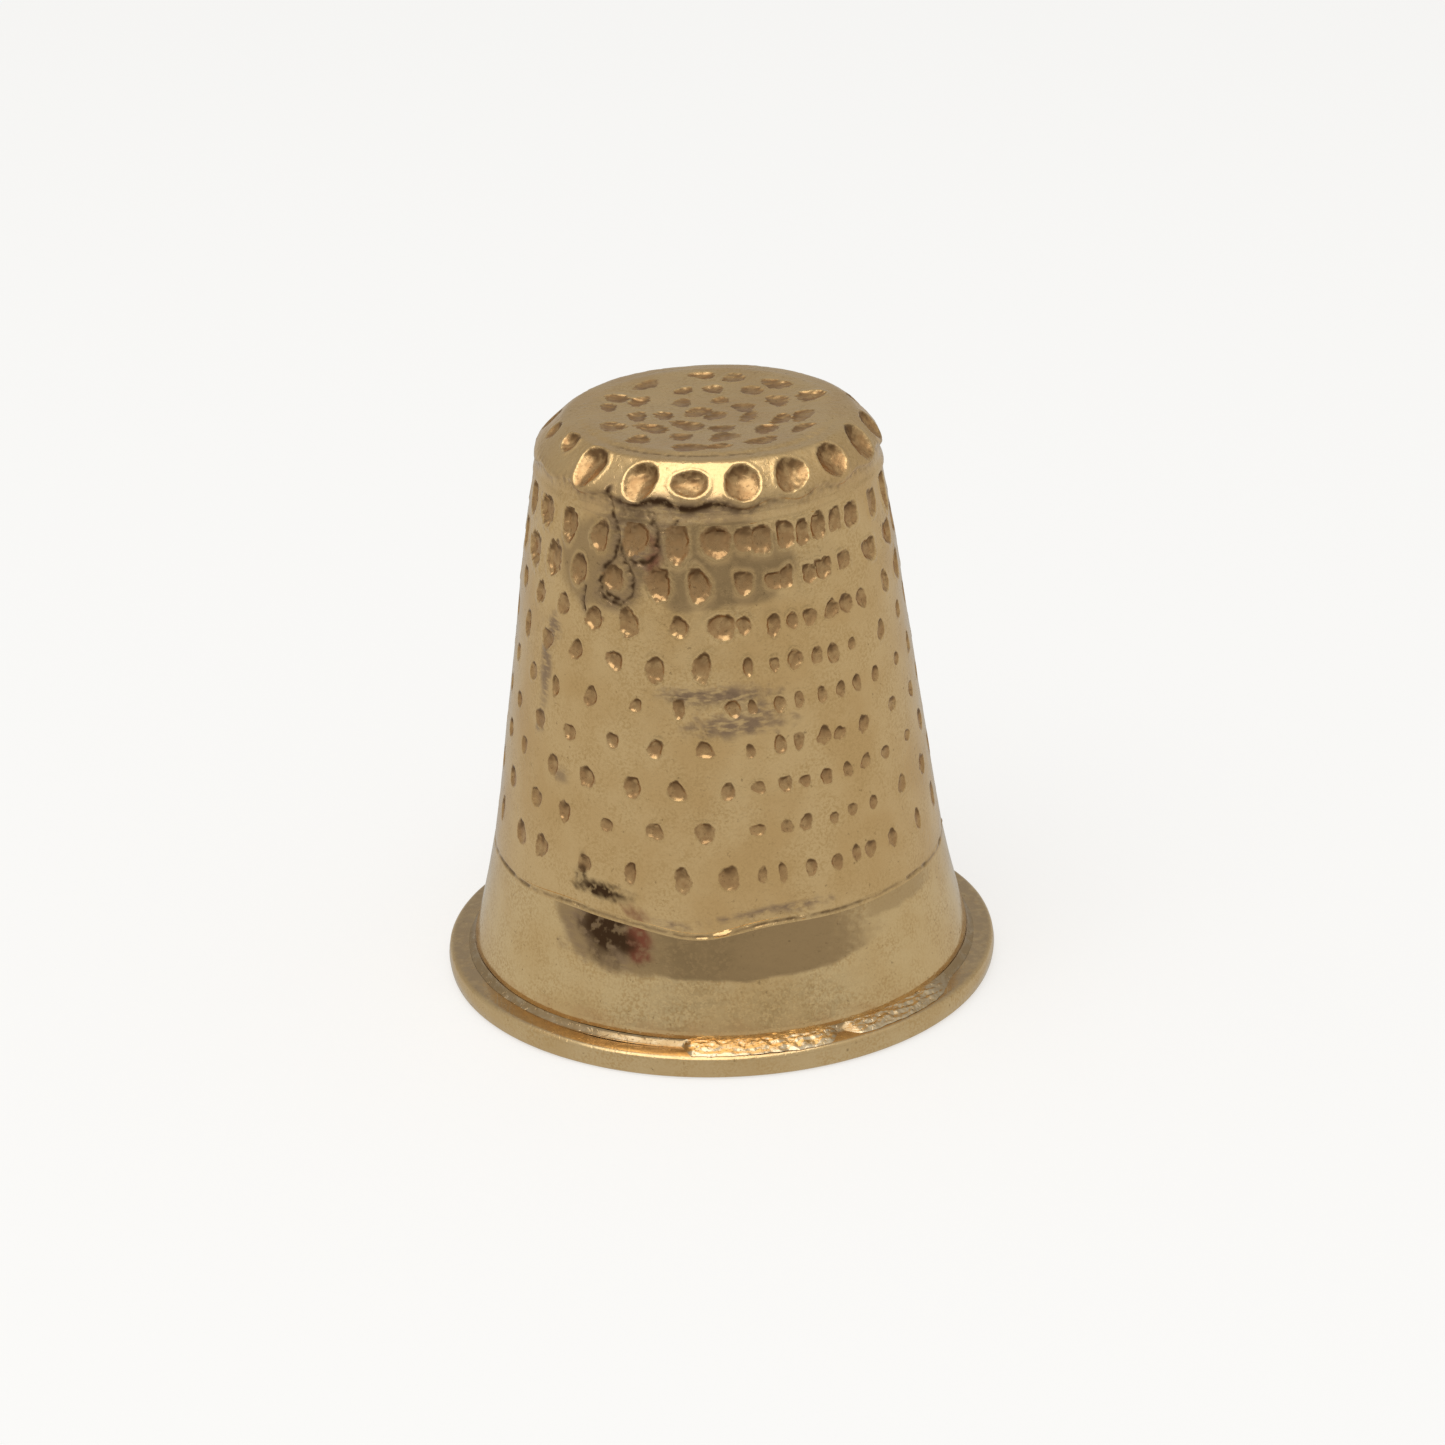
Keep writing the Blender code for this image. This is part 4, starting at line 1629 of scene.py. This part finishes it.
@dataclass
class Studio:
    """Pale floor, soft light and the camera. Nothing here is part of the thimble.

    surround is the room's brightness as the metal mirrors it, horizon the darker strip low in
    front, behind the back of the room and overhead its ceiling. pale is what the camera sees.
    """

    form: Form
    aim_height: float = 9.48 * MM
    distance: float = 0.160
    elevation: float = math.radians(23.87)
    roll: float = math.radians(-1.66)
    lens: float = 110.87
    sensor: float = 36.0
    shift: Pair = (0.0052, -0.0058)
    floor_radius: float = 3.0
    floor_grey: float = 0.50
    floor_glow: float = 0.58
    pale: float = 0.98
    horizon: float = 0.36
    surround: float = 0.48
    behind: float = 0.38
    overhead: float = 0.60
    softbox_place: Colour = (-0.06, -0.12, 0.36)
    softbox_size: Pair = (0.38, 0.40)
    softbox_radiance: float = 1.1

    def build(self) -> None:
        """Makes the floor, the surround, the lights and the camera."""
        self._floor()
        self._surround()
        self._softbox()
        self._camera()
        settings = bpy.context.scene.view_settings
        settings.view_transform = "Standard"
        settings.look = "None"
        degrees_up = math.degrees(self.elevation)
        LOG.info("studio: camera %.0f mm away, %.1f degrees up", self.distance / MM, degrees_up)

    def _floor(self) -> None:
        """Makes a pale sheet, which the metal mirrors as darker a hand's breadth in front."""
        mesh = bpy.data.meshes.new("floor")
        bm = bmesh.new()
        bmesh.ops.create_circle(bm, cap_ends=True, radius=self.floor_radius, segments=96)
        bm.to_mesh(mesh)
        bm.free()
        floor = bpy.data.objects.new("floor", mesh)
        bpy.context.scene.collection.objects.link(floor)
        mesh.materials.append(self._floor_material())

    def _floor_material(self) -> bpy.types.Material:
        """Makes the floor's finish.

        Returns:
            A matt, softly glowing material that looks darker in the metal.
        """
        material = bpy.data.materials.new("pale floor")
        material.use_nodes = True
        graph = Graph(material.node_tree)
        shader = material.node_tree.nodes["Principled BSDF"]
        shader.inputs["Base Color"].default_value = (self.floor_grey, self.floor_grey, self.floor_grey, 1.0)
        shader.inputs["Roughness"].default_value = 0.9
        shader.inputs["Specular IOR Level"].default_value = 0.0
        shader.inputs["Emission Color"].default_value = (1.0, 0.995, 0.985, 1.0)
        shader.inputs["Emission Strength"].default_value = self.floor_glow
        split = graph.add("ShaderNodeSeparateXYZ")
        graph.join(graph.add("ShaderNodeTexCoord").outputs["Object"], split.inputs[0])
        near = graph.ranged(split.outputs["Y"], (-0.185, -0.145), (self.horizon, self.surround))
        glow = graph.add("ShaderNodeEmission")
        glow.inputs["Color"].default_value = ROOM_TINT
        graph.join(near, glow.inputs["Strength"])
        choice = graph.add("ShaderNodeMixShader")
        graph.join(graph.add("ShaderNodeLightPath").outputs["Is Glossy Ray"], choice.inputs[0])
        graph.join(shader.outputs[0], choice.inputs[1])
        graph.join(glow.outputs[0], choice.inputs[2])
        graph.join(choice.outputs[0], material.node_tree.nodes["Material Output"].inputs["Surface"])
        return material

    def _surround(self) -> None:
        """Makes a grey room, darker low in front, and pale where the camera sees it."""
        world = bpy.data.worlds.new("studio surround")
        bpy.context.scene.world = world
        world.use_nodes = True
        graph = Graph(world.node_tree)
        ground = world.node_tree.nodes["Background"]
        split = graph.add("ShaderNodeSeparateXYZ")
        graph.join(graph.add("ShaderNodeTexCoord").outputs["Generated"], split.inputs[0])
        front = graph.ranged(split.outputs["Y"], (-0.1, 0.35), (1.0, 0.0))
        low = graph.ranged(split.outputs["Z"], (0.045, 0.095), (1.0, 0.0))
        back = graph.ranged(split.outputs["Y"], (0.1, 0.6), UNIT)
        high = graph.ranged(split.outputs["Z"], (0.55, 0.95), (0.0, self.overhead - self.surround))
        dark_front = graph.times(graph.times(low, front), self.surround - self.horizon)
        dark_back = graph.times(back, self.surround - self.behind)
        darker = graph.maths("SUBTRACT", self.surround, graph.maths("ADD", dark_front, dark_back))
        strength = graph.add("ShaderNodeMix", data_type="FLOAT")
        graph.join(graph.add("ShaderNodeLightPath").outputs["Is Camera Ray"], strength.inputs[0])
        graph.join(graph.maths("ADD", darker, high), strength.inputs[2])
        strength.inputs[3].default_value = self.pale
        ground.inputs["Color"].default_value = ROOM_TINT
        graph.join(strength.outputs[0], ground.inputs["Strength"])

    def _softbox(self) -> None:
        """Hangs a rectangular soft light that looks at the thimble's middle."""
        lamp = bpy.data.lights.new("overhead_softbox", "AREA")
        lamp.shape = "RECTANGLE"
        width, depth = self.softbox_size
        lamp.size, lamp.size_y = width, depth
        lamp.energy = self.softbox_radiance * math.pi * width * depth
        lamp.color = (1.0, 0.99, 0.97)
        holder = bpy.data.objects.new("overhead_softbox", lamp)
        holder.location = self.softbox_place
        aim = Vector((0.0, 0.0, self.aim_height)) - Vector(self.softbox_place)
        holder.rotation_euler = aim.to_track_quat("-Z", "Y").to_euler()
        bpy.context.scene.collection.objects.link(holder)

    def _camera(self) -> None:
        """Sets up the camera, looking down at the front with a slight roll."""
        data = bpy.data.cameras.new("camera")
        data.lens = self.lens
        data.sensor_width = self.sensor
        data.shift_x, data.shift_y = self.shift
        data.clip_start = 0.01
        camera = bpy.data.objects.new("camera", data)
        forward = Vector((0.0, math.cos(self.elevation), -math.sin(self.elevation)))
        level = Vector((1.0, 0.0, 0.0))
        rise = Vector((0.0, math.sin(self.elevation), math.cos(self.elevation)))
        right = level * math.cos(self.roll) + rise * math.sin(self.roll)
        up = rise * math.cos(self.roll) - level * math.sin(self.roll)
        place = Vector((0.0, 0.0, self.aim_height)) - forward * self.distance
        turn = Matrix((right, up, -forward)).transposed().to_4x4()
        camera.matrix_world = Matrix.Translation(place) @ turn
        bpy.context.scene.collection.objects.link(camera)
        bpy.context.scene.camera = camera


def main() -> None:
    """Builds every piece of the thimble, then the studio round it."""
    logging.basicConfig(level=logging.INFO, format="%(name)s: %(message)s")
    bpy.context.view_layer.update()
    form = Form.from_frame()
    seam = Seam()
    seam_angle = seam.angle(form)
    gap_start = seam.azimuth + seam_angle / 2.0
    strip = (gap_start - seam_angle, seam_angle)
    open_ring = (gap_start, math.tau - seam_angle)
    cap_joint = {"low": form.wall_top, "high": form.cap_edge, "marks": wall_relief(form, seam)}
    crease_marks = CreaseRelief(form, swell=0.014 * MM, seed=9)
    crease_joint = {"low": form.skirt_joint, "high": form.crease, "marks": crease_marks, "levels": 9}
    pieces = [
        CrownCap(form, "struck_cap", "crown_cap", "gold", CROWN_GOLD, 400, ends_on_axis=True,
                 zones=((0.0, 1.4),)),
        SideWall(form, "struck_wall", "side_wall", "gold", STRUCK_GOLD, 270, *open_ring,
                 zones=((0.0, 1.7), (0.5, 1.32)), seam=seam),
        SideWall(form, "wall_seam", "wall_seam_solder", "solder", STRUCK_GOLD, 8, *strip, seam=seam,
                 levels=240),
        SkirtBand(form, "flared_skirt", "skirt_band", "gold", BURNISHED_GOLD, 300, *open_ring),
        SkirtBand(form, "skirt_seam", "skirt_seam_solder", "solder", BURNISHED_GOLD, 4, *strip),
        JointRing(form, "cap_joint", "crown_solder", "solder", STRUCK_GOLD, 540, **cap_joint),
        JointRing(form, "crease_joint", "skirt_solder", "solder", SEAM_GOLD, 900, **crease_joint),
        RimRing(form, "turned_rim", "rim_ring", "gold", RIM_GOLD, 300),
        RimFillet(form, "rim_fillet", "rim_solder", "solder", SOLDER_GOLD, 900),
    ]
    for piece in pieces:
        piece.build()
    Studio(form).build()
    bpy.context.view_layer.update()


if __name__ == "__main__":
    main()
